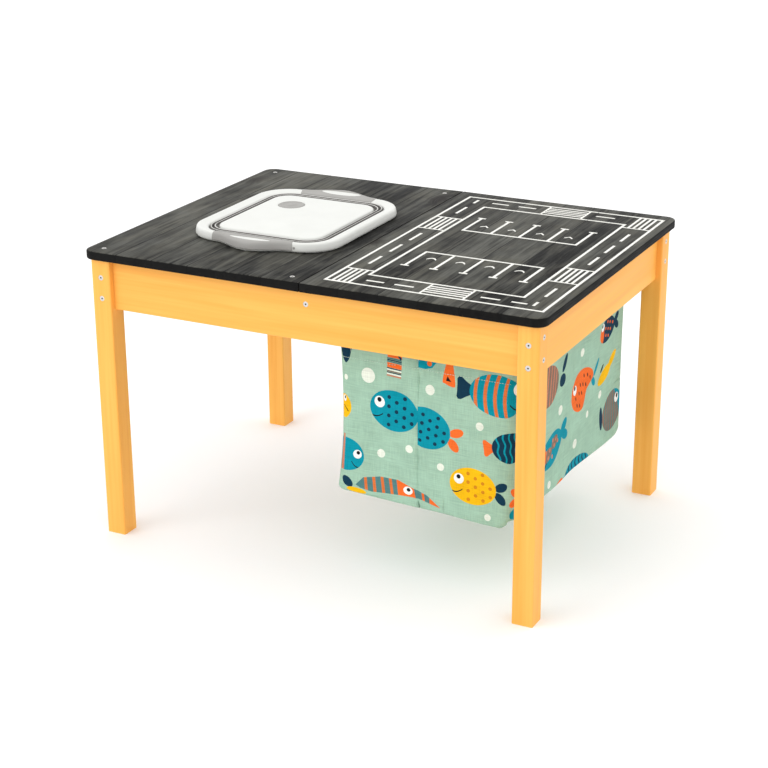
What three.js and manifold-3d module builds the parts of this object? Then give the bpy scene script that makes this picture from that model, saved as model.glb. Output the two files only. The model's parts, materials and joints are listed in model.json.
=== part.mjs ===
// Children's activity table: a painted wooden frame under a stained top in two halves.
// The left half is screwed down and holds a collapsible basin. The right half lifts off,
// and a fabric storage bag hangs below it on two rods.
// Millimetres. +X along the long side, +Y to the back, +Z up.
// The origin is on the floor under the middle of the table.
import * as THREE from 'three';
import { mergeVertices } from 'three/addons/utils/BufferGeometryUtils.js';
import Module from 'manifold-3d';

const wasm = await Module();
wasm.setup();

// ---- driving dimensions -------------------------------------------------------------
const FIT_GAP = 0.3;            // between pieces that touch
const ROUND_SIDES = 10;         // facets of bolts, screws, nuts and their holes

const TABLE_LENGTH = 800;
const TABLE_WIDTH = 600;
const TABLE_HEIGHT = 500;       // floor to the top surface
const TOP_THICKNESS = 15;
const TOP_CORNER_RADIUS = 20;
const TOP_EDGE_RADIUS = 2.5;
const TOP_OVERHANG = 10;        // past the legs' outer faces
const SEAM_GAP = 1.5;           // between the two halves of the top

const LEG_SIZE = 35;
const LEG_EDGE_RADIUS = 2.5;
const APRON_THICKNESS = 15;
const APRON_HEIGHT = 85;
const APRON_EDGE_RADIUS = 2;
const RAIL_WIDTH = 30;          // cross rail under the seam of the top
const RAIL_HEIGHT = 70;

const BOLT_SHANK_RADIUS = 3;
const BOLT_HEAD_RADIUS = 4.5;
const BOLT_HEAD_DEPTH = 3.2;
const BOLT_LENGTH = 70;
const RAIL_BOLT_LENGTH = 62;
const RAIL_BOLT_Z = 460;
const SOCKET_RADIUS = 2.3;      // hexagon socket, across its corners
const SOCKET_DEPTH = 2;
const BOLT_PITCH = 35;          // between the two bolts of one joint
const FRONT_BOLT_Z = 454;       // upper bolt through a leg's front or back face
const SIDE_BOLT_Z = 464;        // upper bolt through a leg's side face
const NUT_PLATE = { thickness: 3, depth: 11.5, height: 54, inset: 25 };
const BARREL_NUT = { radius: 5, length: 22, inset: 40 };

const SCREW_HEAD_RADIUS = 4;
const SCREW_HEAD_DEPTH = 3;
const SCREW_SHANK_RADIUS = 1.8;
const SCREW_LENGTH = 27.5;
const SCREW_Y = 275;
const SCREW_X = [-373, -25];

const BATTEN = { length: 300, width: 14, height: 12, screwInset: 35 };
const BATTEN_SCREW_LENGTH = 22;

const ROD_RADIUS = 6;
const ROD_SOCKET_DEPTH = 8;
const ROD_Y = 239;
const ROD_Z = 436.5;
const BAG = { left: 32, right: 335, halfWidth: 240, bottom: 133, top: 428, wall: 2.5, radius: 24 };
const SLEEVE_WALL = 2.2;

// The basin is drawn about its own middle, at the collapsed height.
const BASIN_X = -161;
const BASIN_Y = -16;
const RIM = { halfX: 133, halfY: 152, radius: 61, thickness: 16.2, edge: 4, skin: 3 };
const HANDLE_REACH = 25;        // past the rim's end
const HANDLE_HALF = 72;         // half the handle's length along the rim
const WELL = { halfX: 110.5, halfY: 133, radius: 42 };
const SKIRT_WALL = 2.5;
const SLIDE_CLEARANCE = 0.8;    // between the nested bands
const BAND_HEIGHT = 40;
const BAND_TOP = 512;
const UPPER_BAND = { halfX: 109.7, halfY: 132.2, radius: 41.2, wallX: 4.8, wallY: 6 };
const LOWER_BAND = { halfX: 104.1, halfY: 125.4, radius: 36.5, wallX: 4.8, wallY: 8 };
const BASE = { halfX: 96.5, halfY: 114.5, radius: 30, top: 514.5, thickness: 6, skirt: 15.5 };
const CUTOUT_CLEARANCE = 1.5;
const GRIP_HALF = 73;
const GRIP_SKIN = 2.2;
const GRIP_WINDOW = { halfX: 34, halfY: 7, fromMiddle: 156 };
const PLUG = { x: -44, y: 57, capRadius: 23, capDepth: 2.5, stemRadius: 16, stemDepth: 8 };

// ---- sizes worked out from them -----------------------------------------------------
const FRAME_TOP = TABLE_HEIGHT - TOP_THICKNESS;
const LEG_OUTER_X = TABLE_LENGTH / 2 - TOP_OVERHANG;
const LEG_OUTER_Y = TABLE_WIDTH / 2 - TOP_OVERHANG;
const LEG_X = LEG_OUTER_X - LEG_SIZE / 2;
const LEG_Y = LEG_OUTER_Y - LEG_SIZE / 2;
const LEG_INNER_X = LEG_OUTER_X - LEG_SIZE;
const LEG_INNER_Y = LEG_OUTER_Y - LEG_SIZE;
const APRON_Z = FRAME_TOP - APRON_HEIGHT / 2;

// ---- finishes -----------------------------------------------------------------------
const finish = (color, roughness, metalness = 0) =>
  new THREE.MeshStandardMaterial({ color, roughness, metalness });
const framePaint = finish(0xf2b055, 0.5);
const topStain = finish(0x41423f, 0.55);
const plainWood = finish(0xd9b27c, 0.7);
const whitePlastic = finish(0xf2f2ec, 0.35);
const greyRubber = finish(0xa8a7a4, 0.7);
const fishCloth = finish(0x9ccdb4, 0.9);
const steel = finish(0xc9cac8, 0.3, 1);

// ---- solids: joining and cutting ----------------------------------------------------
function solid(geometry) {
  const bare = geometry.clone();
  bare.deleteAttribute('normal');
  bare.deleteAttribute('uv');
  const welded = mergeVertices(bare, 1e-4);
  return new wasm.Manifold(new wasm.Mesh({
    numProp: 3,
    vertProperties: new Float32Array(welded.attributes.position.array),
    triVerts: new Uint32Array(welded.index.array),
  }));
}

function toGeometry(manifold) {
  const mesh = manifold.getMesh();
  const geometry = new THREE.BufferGeometry();
  geometry.setAttribute('position', new THREE.BufferAttribute(mesh.vertProperties, 3));
  geometry.setIndex(new THREE.BufferAttribute(mesh.triVerts, 1));
  geometry.computeVertexNormals();
  return geometry;
}

function join(first, ...others) {
  return others.reduce((whole, piece) => whole.add(piece), first);
}

function cut(body, ...tools) {
  return tools.reduce((rest, tool) => rest.subtract(tool), body);
}

// ---- outlines -----------------------------------------------------------------------
const CORNER_STEPS = 5;         // facets of a rounded corner

function roundedRect(halfX, halfY, radius) {
  const outline = new THREE.Shape();
  outline.absarc(halfX - radius, halfY - radius, radius, 0, Math.PI / 2);
  outline.absarc(radius - halfX, halfY - radius, radius, Math.PI / 2, Math.PI);
  outline.absarc(radius - halfX, radius - halfY, radius, Math.PI, 1.5 * Math.PI);
  outline.absarc(halfX - radius, radius - halfY, radius, 1.5 * Math.PI, 2 * Math.PI);
  return outline;
}

// The rim's outline: a rounded rectangle whose two ends swell into handles.
// inset shrinks it evenly.
function rimOutline(inset) {
  const halfX = RIM.halfX - inset;
  const halfY = RIM.halfY - inset;
  const radius = RIM.radius - inset;
  const steps = 8;
  const outline = new THREE.Shape();
  outline.absarc(halfX - radius, halfY - radius, radius, 0, Math.PI / 2);
  for (let i = 1; i < steps; i += 1) {
    const x = HANDLE_HALF * (1 - (2 * i) / steps);
    outline.lineTo(x, halfY + HANDLE_REACH * Math.cos((Math.PI * x) / (2 * HANDLE_HALF)) ** 2);
  }
  outline.absarc(radius - halfX, halfY - radius, radius, Math.PI / 2, Math.PI);
  outline.absarc(radius - halfX, radius - halfY, radius, Math.PI, 1.5 * Math.PI);
  for (let i = 1; i < steps; i += 1) {
    const x = -HANDLE_HALF * (1 - (2 * i) / steps);
    outline.lineTo(x, -halfY - HANDLE_REACH * Math.cos((Math.PI * x) / (2 * HANDLE_HALF)) ** 2);
  }
  outline.absarc(halfX - radius, radius - halfY, radius, 1.5 * Math.PI, 2 * Math.PI);
  return outline;
}

// A prism of the outline from zLow to zHigh, its edges rounded by the edge radius.
function prism(outline, zLow, zHigh, edge = 0, curveSegments = CORNER_STEPS) {
  const geometry = new THREE.ExtrudeGeometry(outline, {
    depth: zHigh - zLow - 2 * edge,
    curveSegments,
    bevelEnabled: edge > 0,
    bevelThickness: edge,
    bevelSize: edge,
    bevelOffset: -edge,
    bevelSegments: 1,
  });
  return geometry.translate(0, 0, zLow + edge);
}

function withHole(outline, hole) {
  outline.holes.push(new THREE.Path(hole.getPoints(CORNER_STEPS).reverse()));
  return outline;
}

// A bar with a rounded section: size across and up, run along the X axis about the origin.
function bar(length, across, height, edgeRadius) {
  const section = roundedRect(across / 2, height / 2, edgeRadius);
  const geometry = new THREE.ExtrudeGeometry(section, {
    depth: length,
    curveSegments: 2,
    bevelEnabled: false,
  });
  geometry.translate(0, 0, -length / 2);
  geometry.rotateX(Math.PI / 2);
  geometry.rotateZ(Math.PI / 2);
  return geometry;
}

function block(sizeX, sizeY, sizeZ, x, y, z) {
  return new THREE.BoxGeometry(sizeX, sizeY, sizeZ).translate(x, y, z);
}

// A cylinder from start, running length along the unit direction.
function drill(radius, length, start, direction, sides = ROUND_SIDES) {
  const geometry = new THREE.CylinderGeometry(radius, radius, length, sides);
  geometry.translate(0, length / 2, 0);
  const turn = new THREE.Quaternion().setFromUnitVectors(new THREE.Vector3(0, 1, 0), direction);
  geometry.applyQuaternion(turn);
  return geometry.translate(start.x, start.y, start.z);
}

// ---- the bolts of the frame ---------------------------------------------------------
// Each bolt has a name, the middle of its head's face, the direction it runs in and its length.
function frameBolts() {
  const bolts = [];
  for (const [end, sy] of [['front', -1], ['back', 1]]) {
    for (const [side, sx] of [['left', -1], ['right', 1]]) {
      for (const [level, drop] of [['upper', 0], ['lower', BOLT_PITCH]]) {
        bolts.push({
          name: `bolt_${end}_${side}_leg_${end}_face_${level}`,
          start: new THREE.Vector3(sx * LEG_X, sy * LEG_OUTER_Y, FRONT_BOLT_Z - drop),
          direction: new THREE.Vector3(0, -sy, 0),
          length: BOLT_LENGTH,
        });
        bolts.push({
          name: `bolt_${end}_${side}_leg_side_face_${level}`,
          start: new THREE.Vector3(sx * LEG_OUTER_X, sy * LEG_Y, SIDE_BOLT_Z - drop),
          direction: new THREE.Vector3(-sx, 0, 0),
          length: BOLT_LENGTH,
        });
      }
    }
    bolts.push({
      name: `bolt_${end}_apron_to_cross_rail`,
      start: new THREE.Vector3(0, sy * (LEG_Y + APRON_THICKNESS / 2), RAIL_BOLT_Z),
      direction: new THREE.Vector3(0, -sy, 0),
      length: RAIL_BOLT_LENGTH,
    });
  }
  return bolts;
}
const bolts = frameBolts();

function boltSolid(bolt) {
  const profile = [
    [0, 0],
    [BOLT_HEAD_RADIUS, 0],
    [BOLT_HEAD_RADIUS, -BOLT_HEAD_DEPTH],
    [BOLT_SHANK_RADIUS, -BOLT_HEAD_DEPTH],
    [BOLT_SHANK_RADIUS, -bolt.length],
    [0, -bolt.length],
  ].reverse().map(([r, y]) => new THREE.Vector2(r, y));
  const turned = solid(new THREE.LatheGeometry(profile, ROUND_SIDES));
  const socket = new THREE.CylinderGeometry(SOCKET_RADIUS, SOCKET_RADIUS, 2 * SOCKET_DEPTH, 6);
  const geometry = toGeometry(cut(turned, solid(socket)));
  const turn = new THREE.Quaternion().setFromUnitVectors(
    new THREE.Vector3(0, -1, 0), bolt.direction);
  return geometry.applyQuaternion(turn).translate(bolt.start.x, bolt.start.y, bolt.start.z);
}

// The hole that a bolt needs: a counterbore for the head and a clearance hole for the shank.
function boltHole(bolt) {
  const back = bolt.start.clone().addScaledVector(bolt.direction, -5);
  const headDepth = 5 + BOLT_HEAD_DEPTH + FIT_GAP;
  return join(
    solid(drill(BOLT_HEAD_RADIUS + FIT_GAP, headDepth, back, bolt.direction)),
    solid(drill(BOLT_SHANK_RADIUS + FIT_GAP, bolt.length + 6, back, bolt.direction)),
  );
}

function cutBoltHoles(body) {
  const box = body.boundingBox();
  const reach = new THREE.Box3(new THREE.Vector3(...box.min), new THREE.Vector3(...box.max));
  let rest = body;
  for (const bolt of bolts) {
    const end = bolt.start.clone().addScaledVector(bolt.direction, bolt.length);
    const way = new THREE.Box3().setFromPoints([bolt.start, end]).expandByScalar(0.5);
    if (reach.intersectsBox(way)) rest = cut(rest, boltHole(bolt));
  }
  return rest;
}

// ---- the group and its pieces -------------------------------------------------------
const table = new THREE.Group();

function add(name, geometry, material) {
  const mesh = new THREE.Mesh(geometry, material);
  mesh.name = name;
  table.add(mesh);
  return mesh;
}

// ---- legs ---------------------------------------------------------------------------
for (const [end, sy] of [['front', -1], ['back', 1]]) {
  for (const [side, sx] of [['left', -1], ['right', 1]]) {
    const section = roundedRect(LEG_SIZE / 2, LEG_SIZE / 2, LEG_EDGE_RADIUS);
    const post = prism(section, 0, FRAME_TOP, 0, 2).translate(sx * LEG_X, sy * LEG_Y, 0);
    let leg = cutBoltHoles(solid(post));
    if (side === 'left') leg = cut(leg, solid(screwHole(SCREW_X[0], sy * SCREW_Y)));
    add(`leg_${end}_${side}`, toGeometry(leg), framePaint);
  }
}

// ---- aprons and the cross rail ------------------------------------------------------
// The slot for a nut plate, or the plate itself: clearance 0 gives the plate.
function nutPlateBlock(joint, clearance) {
  const size = {
    along: NUT_PLATE.thickness + 2 * clearance,
    deep: NUT_PLATE.depth + (clearance > 0 ? 5 + clearance : 0),
    high: NUT_PLATE.height + 2 * clearance,
  };
  const inner = joint.innerFace - Math.sign(joint.innerFace) * (clearance > 0 ? 5 : 0);
  const middle = inner + (Math.sign(joint.innerFace) * size.deep) / 2;
  if (joint.alongX) return block(size.along, size.deep, size.high, joint.at, middle, joint.z);
  return block(size.deep, size.along, size.high, middle, joint.at, joint.z);
}

function nutPlateJoints() {
  const joints = [];
  for (const [end, sy] of [['front', -1], ['back', 1]]) {
    for (const [side, sx] of [['left', -1], ['right', 1]]) {
      joints.push({
        name: `nut_plate_${end}_apron_${side}_end`,
        apron: `apron_${end}`,
        alongX: true,
        at: sx * (LEG_INNER_X - NUT_PLATE.inset),
        innerFace: sy * (LEG_Y - APRON_THICKNESS / 2),
        z: SIDE_BOLT_Z - BOLT_PITCH / 2,
      });
      joints.push({
        name: `nut_plate_${side}_apron_${end}_end`,
        apron: `apron_${side}`,
        alongX: false,
        at: sy * (LEG_INNER_Y - NUT_PLATE.inset),
        innerFace: sx * (LEG_X - APRON_THICKNESS / 2),
        z: FRONT_BOLT_Z - BOLT_PITCH / 2,
      });
    }
  }
  return joints;
}
const nutPlates = nutPlateJoints();

function cutNutSlots(body, apronName) {
  const slots = nutPlates.filter((joint) => joint.apron === apronName);
  return cut(body, ...slots.map((joint) => solid(nutPlateBlock(joint, FIT_GAP))));
}

// The socket that a rod's end sits in, from the face at x, running in the direction sx.
function rodSocket(x, sy, sx) {
  const start = new THREE.Vector3(x - 5 * sx, sy * ROD_Y, ROD_Z);
  const direction = new THREE.Vector3(sx, 0, 0);
  return solid(drill(ROD_RADIUS + FIT_GAP, 5 + ROD_SOCKET_DEPTH + FIT_GAP, start, direction, 12));
}

for (const [end, sy] of [['front', -1], ['back', 1]]) {
  const length = 2 * (LEG_INNER_X - FIT_GAP);
  const board = bar(length, APRON_THICKNESS, APRON_HEIGHT, APRON_EDGE_RADIUS);
  board.translate(0, sy * LEG_Y, APRON_Z);
  let apron = cutNutSlots(cutBoltHoles(solid(board)), `apron_${end}`);
  apron = cut(apron, solid(screwHole(SCREW_X[1], sy * SCREW_Y)));
  add(`apron_${end}`, toGeometry(apron), framePaint);
}

for (const [side, sx] of [['left', -1], ['right', 1]]) {
  const length = 2 * (LEG_INNER_Y - FIT_GAP);
  const board = bar(length, APRON_THICKNESS, APRON_HEIGHT, APRON_EDGE_RADIUS);
  board.rotateZ(Math.PI / 2).translate(sx * LEG_X, 0, APRON_Z);
  let apron = cutNutSlots(cutBoltHoles(solid(board)), `apron_${side}`);
  if (side === 'right') {
    const face = LEG_X - APRON_THICKNESS / 2;
    apron = cut(apron, rodSocket(face, -1, 1), rodSocket(face, 1, 1));
  }
  add(`apron_${side}`, toGeometry(apron), framePaint);
}

const railLength = 2 * (LEG_Y - APRON_THICKNESS / 2 - FIT_GAP);
const railBoard = bar(railLength, RAIL_WIDTH, RAIL_HEIGHT, APRON_EDGE_RADIUS);
railBoard.rotateZ(Math.PI / 2).translate(0, 0, FRAME_TOP - RAIL_HEIGHT / 2);
const barrelNutY = railLength / 2 - BARREL_NUT.inset;

function barrelNutPocket(sy) {
  const start = new THREE.Vector3(-RAIL_WIDTH / 2 - 5, sy * barrelNutY, RAIL_BOLT_Z);
  const direction = new THREE.Vector3(1, 0, 0);
  const length = 5 + RAIL_WIDTH / 2 + BARREL_NUT.length / 2 + FIT_GAP;
  return solid(drill(BARREL_NUT.radius + FIT_GAP, length, start, direction));
}
const rail = cut(
  cutBoltHoles(solid(railBoard)),
  barrelNutPocket(-1),
  barrelNutPocket(1),
  rodSocket(RAIL_WIDTH / 2, -1, -1),
  rodSocket(RAIL_WIDTH / 2, 1, -1),
);
add('cross_rail', toGeometry(rail), framePaint);

// ---- fasteners ----------------------------------------------------------------------
for (const bolt of bolts) add(bolt.name, boltSolid(bolt), steel);

for (const joint of nutPlates) {
  const plate = cutBoltHoles(solid(nutPlateBlock(joint, 0)));
  add(joint.name, toGeometry(plate), steel);
}

for (const [end, sy] of [['front', -1], ['back', 1]]) {
  const start = new THREE.Vector3(-BARREL_NUT.length / 2, sy * barrelNutY, RAIL_BOLT_Z);
  const nut = drill(BARREL_NUT.radius, BARREL_NUT.length, start, new THREE.Vector3(1, 0, 0));
  add(`barrel_nut_cross_rail_${end}`, toGeometry(cutBoltHoles(solid(nut))), steel);
}

// The countersunk screws of the left panel, and the hole that each one needs.
function screwProfile(extra, length = SCREW_LENGTH) {
  return [
    [0, -length - extra],
    [0.4 + extra, -length - extra],
    [SCREW_SHANK_RADIUS + extra, 5 - length],
    [SCREW_SHANK_RADIUS + extra, -SCREW_HEAD_DEPTH - extra],
    [SCREW_HEAD_RADIUS + extra, -0.6],
    [SCREW_HEAD_RADIUS + extra, extra > 0 ? 5 : 0],
    [0, extra > 0 ? 5 : 0],
  ].map(([r, z]) => new THREE.Vector2(r, z));
}

function screwHole(x, y) {
  const hole = new THREE.LatheGeometry(screwProfile(FIT_GAP), ROUND_SIDES).rotateX(Math.PI / 2);
  return hole.translate(x, y, TABLE_HEIGHT);
}

// A screw or its hole, head down, driven up through a batten at x, y.
function battenScrew(x, y, extra) {
  const profile = screwProfile(extra, BATTEN_SCREW_LENGTH);
  const turned = new THREE.LatheGeometry(profile, ROUND_SIDES).rotateX(-Math.PI / 2);
  return solid(turned.translate(x, y, FRAME_TOP - BATTEN.height));
}

function slotted(screw, x, y, z) {
  return cut(screw, solid(block(5, 1, 2.4, x, y, z)));
}

for (const [end, sy] of [['front', -1], ['back', 1]]) {
  for (const [position, x] of [['outer', SCREW_X[0]], ['seam', SCREW_X[1]]]) {
    const turned = new THREE.LatheGeometry(screwProfile(0), ROUND_SIDES).rotateX(Math.PI / 2);
    turned.translate(x, sy * SCREW_Y, TABLE_HEIGHT);
    const screw = slotted(solid(turned), x, sy * SCREW_Y, TABLE_HEIGHT);
    add(`top_screw_${end}_${position}`, toGeometry(screw), steel);
  }
}

// ---- the two halves of the top ------------------------------------------------------
const topOutline = roundedRect(TABLE_LENGTH / 2, TABLE_WIDTH / 2, TOP_CORNER_RADIUS);
const wholeTop = solid(prism(topOutline, FRAME_TOP + FIT_GAP, TABLE_HEIGHT, TOP_EDGE_RADIUS));

function halfOfTop(sx) {
  const middle = sx * (TABLE_LENGTH / 4 + SEAM_GAP / 2);
  const half = block(TABLE_LENGTH / 2, TABLE_WIDTH + 20, 60, middle, 0, TABLE_HEIGHT);
  return wholeTop.intersect(solid(half));
}

const cutout = prism(
  roundedRect(
    WELL.halfX + SKIRT_WALL + CUTOUT_CLEARANCE,
    WELL.halfY + SKIRT_WALL + CUTOUT_CLEARANCE,
    WELL.radius + SKIRT_WALL + CUTOUT_CLEARANCE,
  ),
  FRAME_TOP - 10,
  TABLE_HEIGHT + 10,
).translate(BASIN_X, BASIN_Y, 0);

let leftPanel = cut(halfOfTop(-1), solid(cutout));
for (const x of SCREW_X) {
  for (const sy of [-1, 1]) leftPanel = cut(leftPanel, solid(screwHole(x, sy * SCREW_Y)));
}
add('top_panel_left', toGeometry(leftPanel), topStain);

// Battens across the planks of the loose half. They also drop inside the aprons and locate it.
let rightPanel = halfOfTop(1);
for (const [end, sy] of [['front', -1], ['back', 1]]) {
  const x = (RAIL_WIDTH / 2 + LEG_INNER_X) / 2;
  const y = sy * (LEG_Y - APRON_THICKNESS / 2 - 1 - BATTEN.width / 2);
  const board = bar(BATTEN.length, BATTEN.width, BATTEN.height, 1.5);
  let batten = solid(board.translate(x, y, FRAME_TOP - BATTEN.height / 2));
  for (const [side, sx] of [['left', -1], ['right', 1]]) {
    const screwX = x + sx * (BATTEN.length / 2 - BATTEN.screwInset);
    const hole = battenScrew(screwX, y, FIT_GAP);
    batten = cut(batten, hole);
    rightPanel = cut(rightPanel, hole);
    const screw = slotted(battenScrew(screwX, y, 0), screwX, y, FRAME_TOP - BATTEN.height);
    add(`batten_screw_${end}_${side}`, toGeometry(screw), steel);
  }
  add(`top_batten_${end}`, toGeometry(batten), plainWood);
}
add('top_panel_right', toGeometry(rightPanel), topStain);

// ---- the storage bag and its rods ---------------------------------------------------
for (const [end, sy] of [['front', -1], ['back', 1]]) {
  const from = RAIL_WIDTH / 2 - ROD_SOCKET_DEPTH;
  const to = LEG_X - APRON_THICKNESS / 2 + ROD_SOCKET_DEPTH;
  const start = new THREE.Vector3(from, sy * ROD_Y, ROD_Z);
  const rod = drill(ROD_RADIUS, to - from, start, new THREE.Vector3(1, 0, 0), 12);
  add(`bag_rod_${end}`, rod, plainWood);
}

function bagSolid() {
  const halfX = (BAG.right - BAG.left) / 2;
  const middle = (BAG.right + BAG.left) / 2;
  const outer = prism(roundedRect(halfX, BAG.halfWidth, BAG.radius), BAG.bottom, BAG.top);
  const inner = prism(
    roundedRect(halfX - BAG.wall, BAG.halfWidth - BAG.wall, BAG.radius - BAG.wall),
    BAG.bottom + BAG.wall,
    BAG.top + 10,
  );
  let bag = cut(solid(outer), solid(inner)).translate([middle, 0, 0]);
  const sleeveLength = 2 * (halfX - BAG.radius);
  for (const sy of [-1, 1]) {
    const start = new THREE.Vector3(middle - sleeveLength / 2, sy * ROD_Y, ROD_Z);
    const along = new THREE.Vector3(1, 0, 0);
    const sleeveRadius = ROD_RADIUS + FIT_GAP + SLEEVE_WALL;
    const wallY = sy * (BAG.halfWidth - BAG.wall / 2);
    const riser = block(sleeveLength, BAG.wall, 12, middle, wallY, BAG.top + 2);
    bag = join(bag, solid(riser), solid(drill(sleeveRadius, sleeveLength, start, along, 12)));
    start.x -= 50;
    bag = cut(bag, solid(drill(ROD_RADIUS + FIT_GAP, sleeveLength + 100, start, along, 12)));
  }
  return bag;
}
add('storage_bag', toGeometry(bagSolid()), fishCloth);

// ---- the collapsible basin ----------------------------------------------------------
const rimBottom = TABLE_HEIGHT + FIT_GAP;
const rimTop = rimBottom + RIM.thickness;
const place = (geometry) => geometry.translate(BASIN_X, BASIN_Y, 0);
const well = (grow) => roundedRect(WELL.halfX + grow, WELL.halfY + grow, WELL.radius + grow);

// The wedge of the rim that a grip covers, its ends slanting outwards.
function gripWedge(sy, grow) {
  const half = GRIP_HALF + grow;
  const wedge = new THREE.Shape();
  wedge.moveTo(-half + 14, sy * 100);
  wedge.lineTo(half - 14, sy * 100);
  wedge.lineTo(half + 16, sy * 200);
  wedge.lineTo(-half - 16, sy * 200);
  wedge.closePath();
  return solid(place(prism(wedge, rimBottom - 20, rimTop + 20)));
}

const rimShape = solid(place(
  prism(withHole(rimOutline(0), well(0)), rimBottom, rimTop, RIM.edge)));
// The rim's core under a grip: its outside is lower and narrower by the grip's skin.
const coreUnder = (skin) => solid(place(
  prism(withHole(rimOutline(skin), well(-8)), rimBottom - 8, rimTop - skin, RIM.edge)));

const gripCore = coreUnder(GRIP_SKIN);
const rimCore = coreUnder(GRIP_SKIN + FIT_GAP);
let rim = rimShape;
for (const sy of [-1, 1]) rim = cut(rim, cut(gripWedge(sy, FIT_GAP), rimCore));
const underside = solid(place(prism(
  withHole(rimOutline(GRIP_SKIN + FIT_GAP + RIM.skin), well(SKIRT_WALL)),
  rimBottom - 5,
  rimTop - GRIP_SKIN - FIT_GAP - RIM.skin,
)));
const skirt = solid(place(prism(
  withHole(well(SKIRT_WALL), well(0)), BAND_TOP - BAND_HEIGHT, BAND_TOP)));
add('basin_rim', toGeometry(join(cut(rim, underside), skirt)), whitePlastic);

for (const [end, sy] of [['front', -1], ['back', 1]]) {
  const window = new THREE.Shape();
  const middleY = sy * GRIP_WINDOW.fromMiddle;
  window.absellipse(0, middleY, GRIP_WINDOW.halfX, GRIP_WINDOW.halfY, 0, 2 * Math.PI);
  const grip = cut(
    rimShape.intersect(gripWedge(sy, 0)),
    gripCore,
    solid(place(prism(window, rimTop - 8, rimTop + 8, 0, 12))),
  );
  add(`basin_grip_${end}`, toGeometry(grip), greyRubber);
}

function bandSolid(band) {
  const hole = roundedRect(
    band.halfX - band.wallX, band.halfY - band.wallY, band.radius - band.wallX + 0.6);
  const outline = withHole(roundedRect(band.halfX, band.halfY, band.radius), hole);
  return solid(place(prism(outline, BAND_TOP - BAND_HEIGHT, BAND_TOP)));
}
add('basin_band_upper', toGeometry(bandSolid(UPPER_BAND)), greyRubber);
add('basin_band_lower', toGeometry(bandSolid(LOWER_BAND)), greyRubber);

const baseOutline = roundedRect(BASE.halfX, BASE.halfY, BASE.radius);
const baseBlock = solid(place(prism(baseOutline, BASE.top - BASE.skirt, BASE.top, 1.5)));
const baseHollow = solid(place(prism(
  roundedRect(BASE.halfX - 3, BASE.halfY - 3, BASE.radius - 3),
  BASE.top - BASE.skirt - 5,
  BASE.top - BASE.thickness,
)));
const plugAt = new THREE.Vector3(BASIN_X + PLUG.x, BASIN_Y + PLUG.y, BASE.top + 5);
const down = new THREE.Vector3(0, 0, -1);
const basinBase = cut(
  baseBlock,
  baseHollow,
  solid(drill(PLUG.capRadius + FIT_GAP, 5 + PLUG.capDepth, plugAt, down, 18)),
  solid(drill(PLUG.stemRadius + FIT_GAP, 30, plugAt, down, 18)),
);
add('basin_base', toGeometry(basinBase), whitePlastic);

const plugProfile = [
  [0, -PLUG.stemDepth],
  [PLUG.stemRadius - 1, -PLUG.stemDepth],
  [PLUG.stemRadius, 1 - PLUG.stemDepth],
  [PLUG.stemRadius, FIT_GAP - PLUG.capDepth],
  [PLUG.capRadius, FIT_GAP - PLUG.capDepth],
  [PLUG.capRadius, 0],
  [PLUG.capRadius - 1, 0.6],
  [0, 0.6],
].map(([r, y]) => new THREE.Vector2(r, y));
const plug = new THREE.LatheGeometry(plugProfile, 18).rotateX(Math.PI / 2);
plug.translate(BASIN_X + PLUG.x, BASIN_Y + PLUG.y, BASE.top);
add('drain_plug', plug, greyRubber);

export default table;
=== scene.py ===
import json
from math import atan2, copysign, cos, exp, hypot, pi, radians, sin, sqrt, tan

import bmesh
import bpy
import numpy as np
from mathutils import Matrix, Vector, noise
from mathutils.geometry import delaunay_2d_cdt


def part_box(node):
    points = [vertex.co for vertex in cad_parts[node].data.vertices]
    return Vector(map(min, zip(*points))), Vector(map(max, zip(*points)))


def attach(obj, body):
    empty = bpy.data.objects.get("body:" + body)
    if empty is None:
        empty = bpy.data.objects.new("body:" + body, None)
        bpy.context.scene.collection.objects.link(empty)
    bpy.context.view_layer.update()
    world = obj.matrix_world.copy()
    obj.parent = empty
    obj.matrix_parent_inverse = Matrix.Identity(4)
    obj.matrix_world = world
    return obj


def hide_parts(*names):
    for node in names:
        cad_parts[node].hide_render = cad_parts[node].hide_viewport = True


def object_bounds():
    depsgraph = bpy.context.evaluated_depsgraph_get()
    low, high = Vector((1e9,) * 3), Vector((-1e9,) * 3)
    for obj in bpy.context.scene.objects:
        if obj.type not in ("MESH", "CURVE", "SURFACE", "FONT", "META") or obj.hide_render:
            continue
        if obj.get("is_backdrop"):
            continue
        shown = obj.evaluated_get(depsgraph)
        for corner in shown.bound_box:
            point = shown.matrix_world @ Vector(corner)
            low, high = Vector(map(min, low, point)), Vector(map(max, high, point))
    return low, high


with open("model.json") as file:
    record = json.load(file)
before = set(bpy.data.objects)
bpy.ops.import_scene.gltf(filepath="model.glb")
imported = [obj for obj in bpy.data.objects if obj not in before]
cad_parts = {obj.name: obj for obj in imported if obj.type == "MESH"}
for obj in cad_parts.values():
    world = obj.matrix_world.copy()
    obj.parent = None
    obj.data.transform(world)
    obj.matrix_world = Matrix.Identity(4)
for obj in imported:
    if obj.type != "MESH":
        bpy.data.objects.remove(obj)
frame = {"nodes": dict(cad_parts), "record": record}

MM = 0.001
scene = bpy.context.scene
BODY_OF = {n: b for b, ns in frame["record"]["behaviour"]["bodies"].items() for n in ns}
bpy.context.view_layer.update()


def box(node):
    """Lowest and highest corner of a CAD node, in millimetres."""
    low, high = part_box(node)
    return low / MM, high / MM


def rgb(r, g, b):
    """Linear colour from the 0 to 255 values seen on a screen."""
    def line(v):
        v /= 255
        return v / 12.92 if v < 0.04045 else ((v + 0.055) / 1.055) ** 2.4
    return (line(r), line(g), line(b), 1.0)


def towards(colour, other, share):
    return tuple(a + (b - a) * share for a, b in zip(colour, other))


def shaded(colour, times):
    return tuple(min(1.0, v * times) for v in colour[:3]) + (1.0,)


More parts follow.
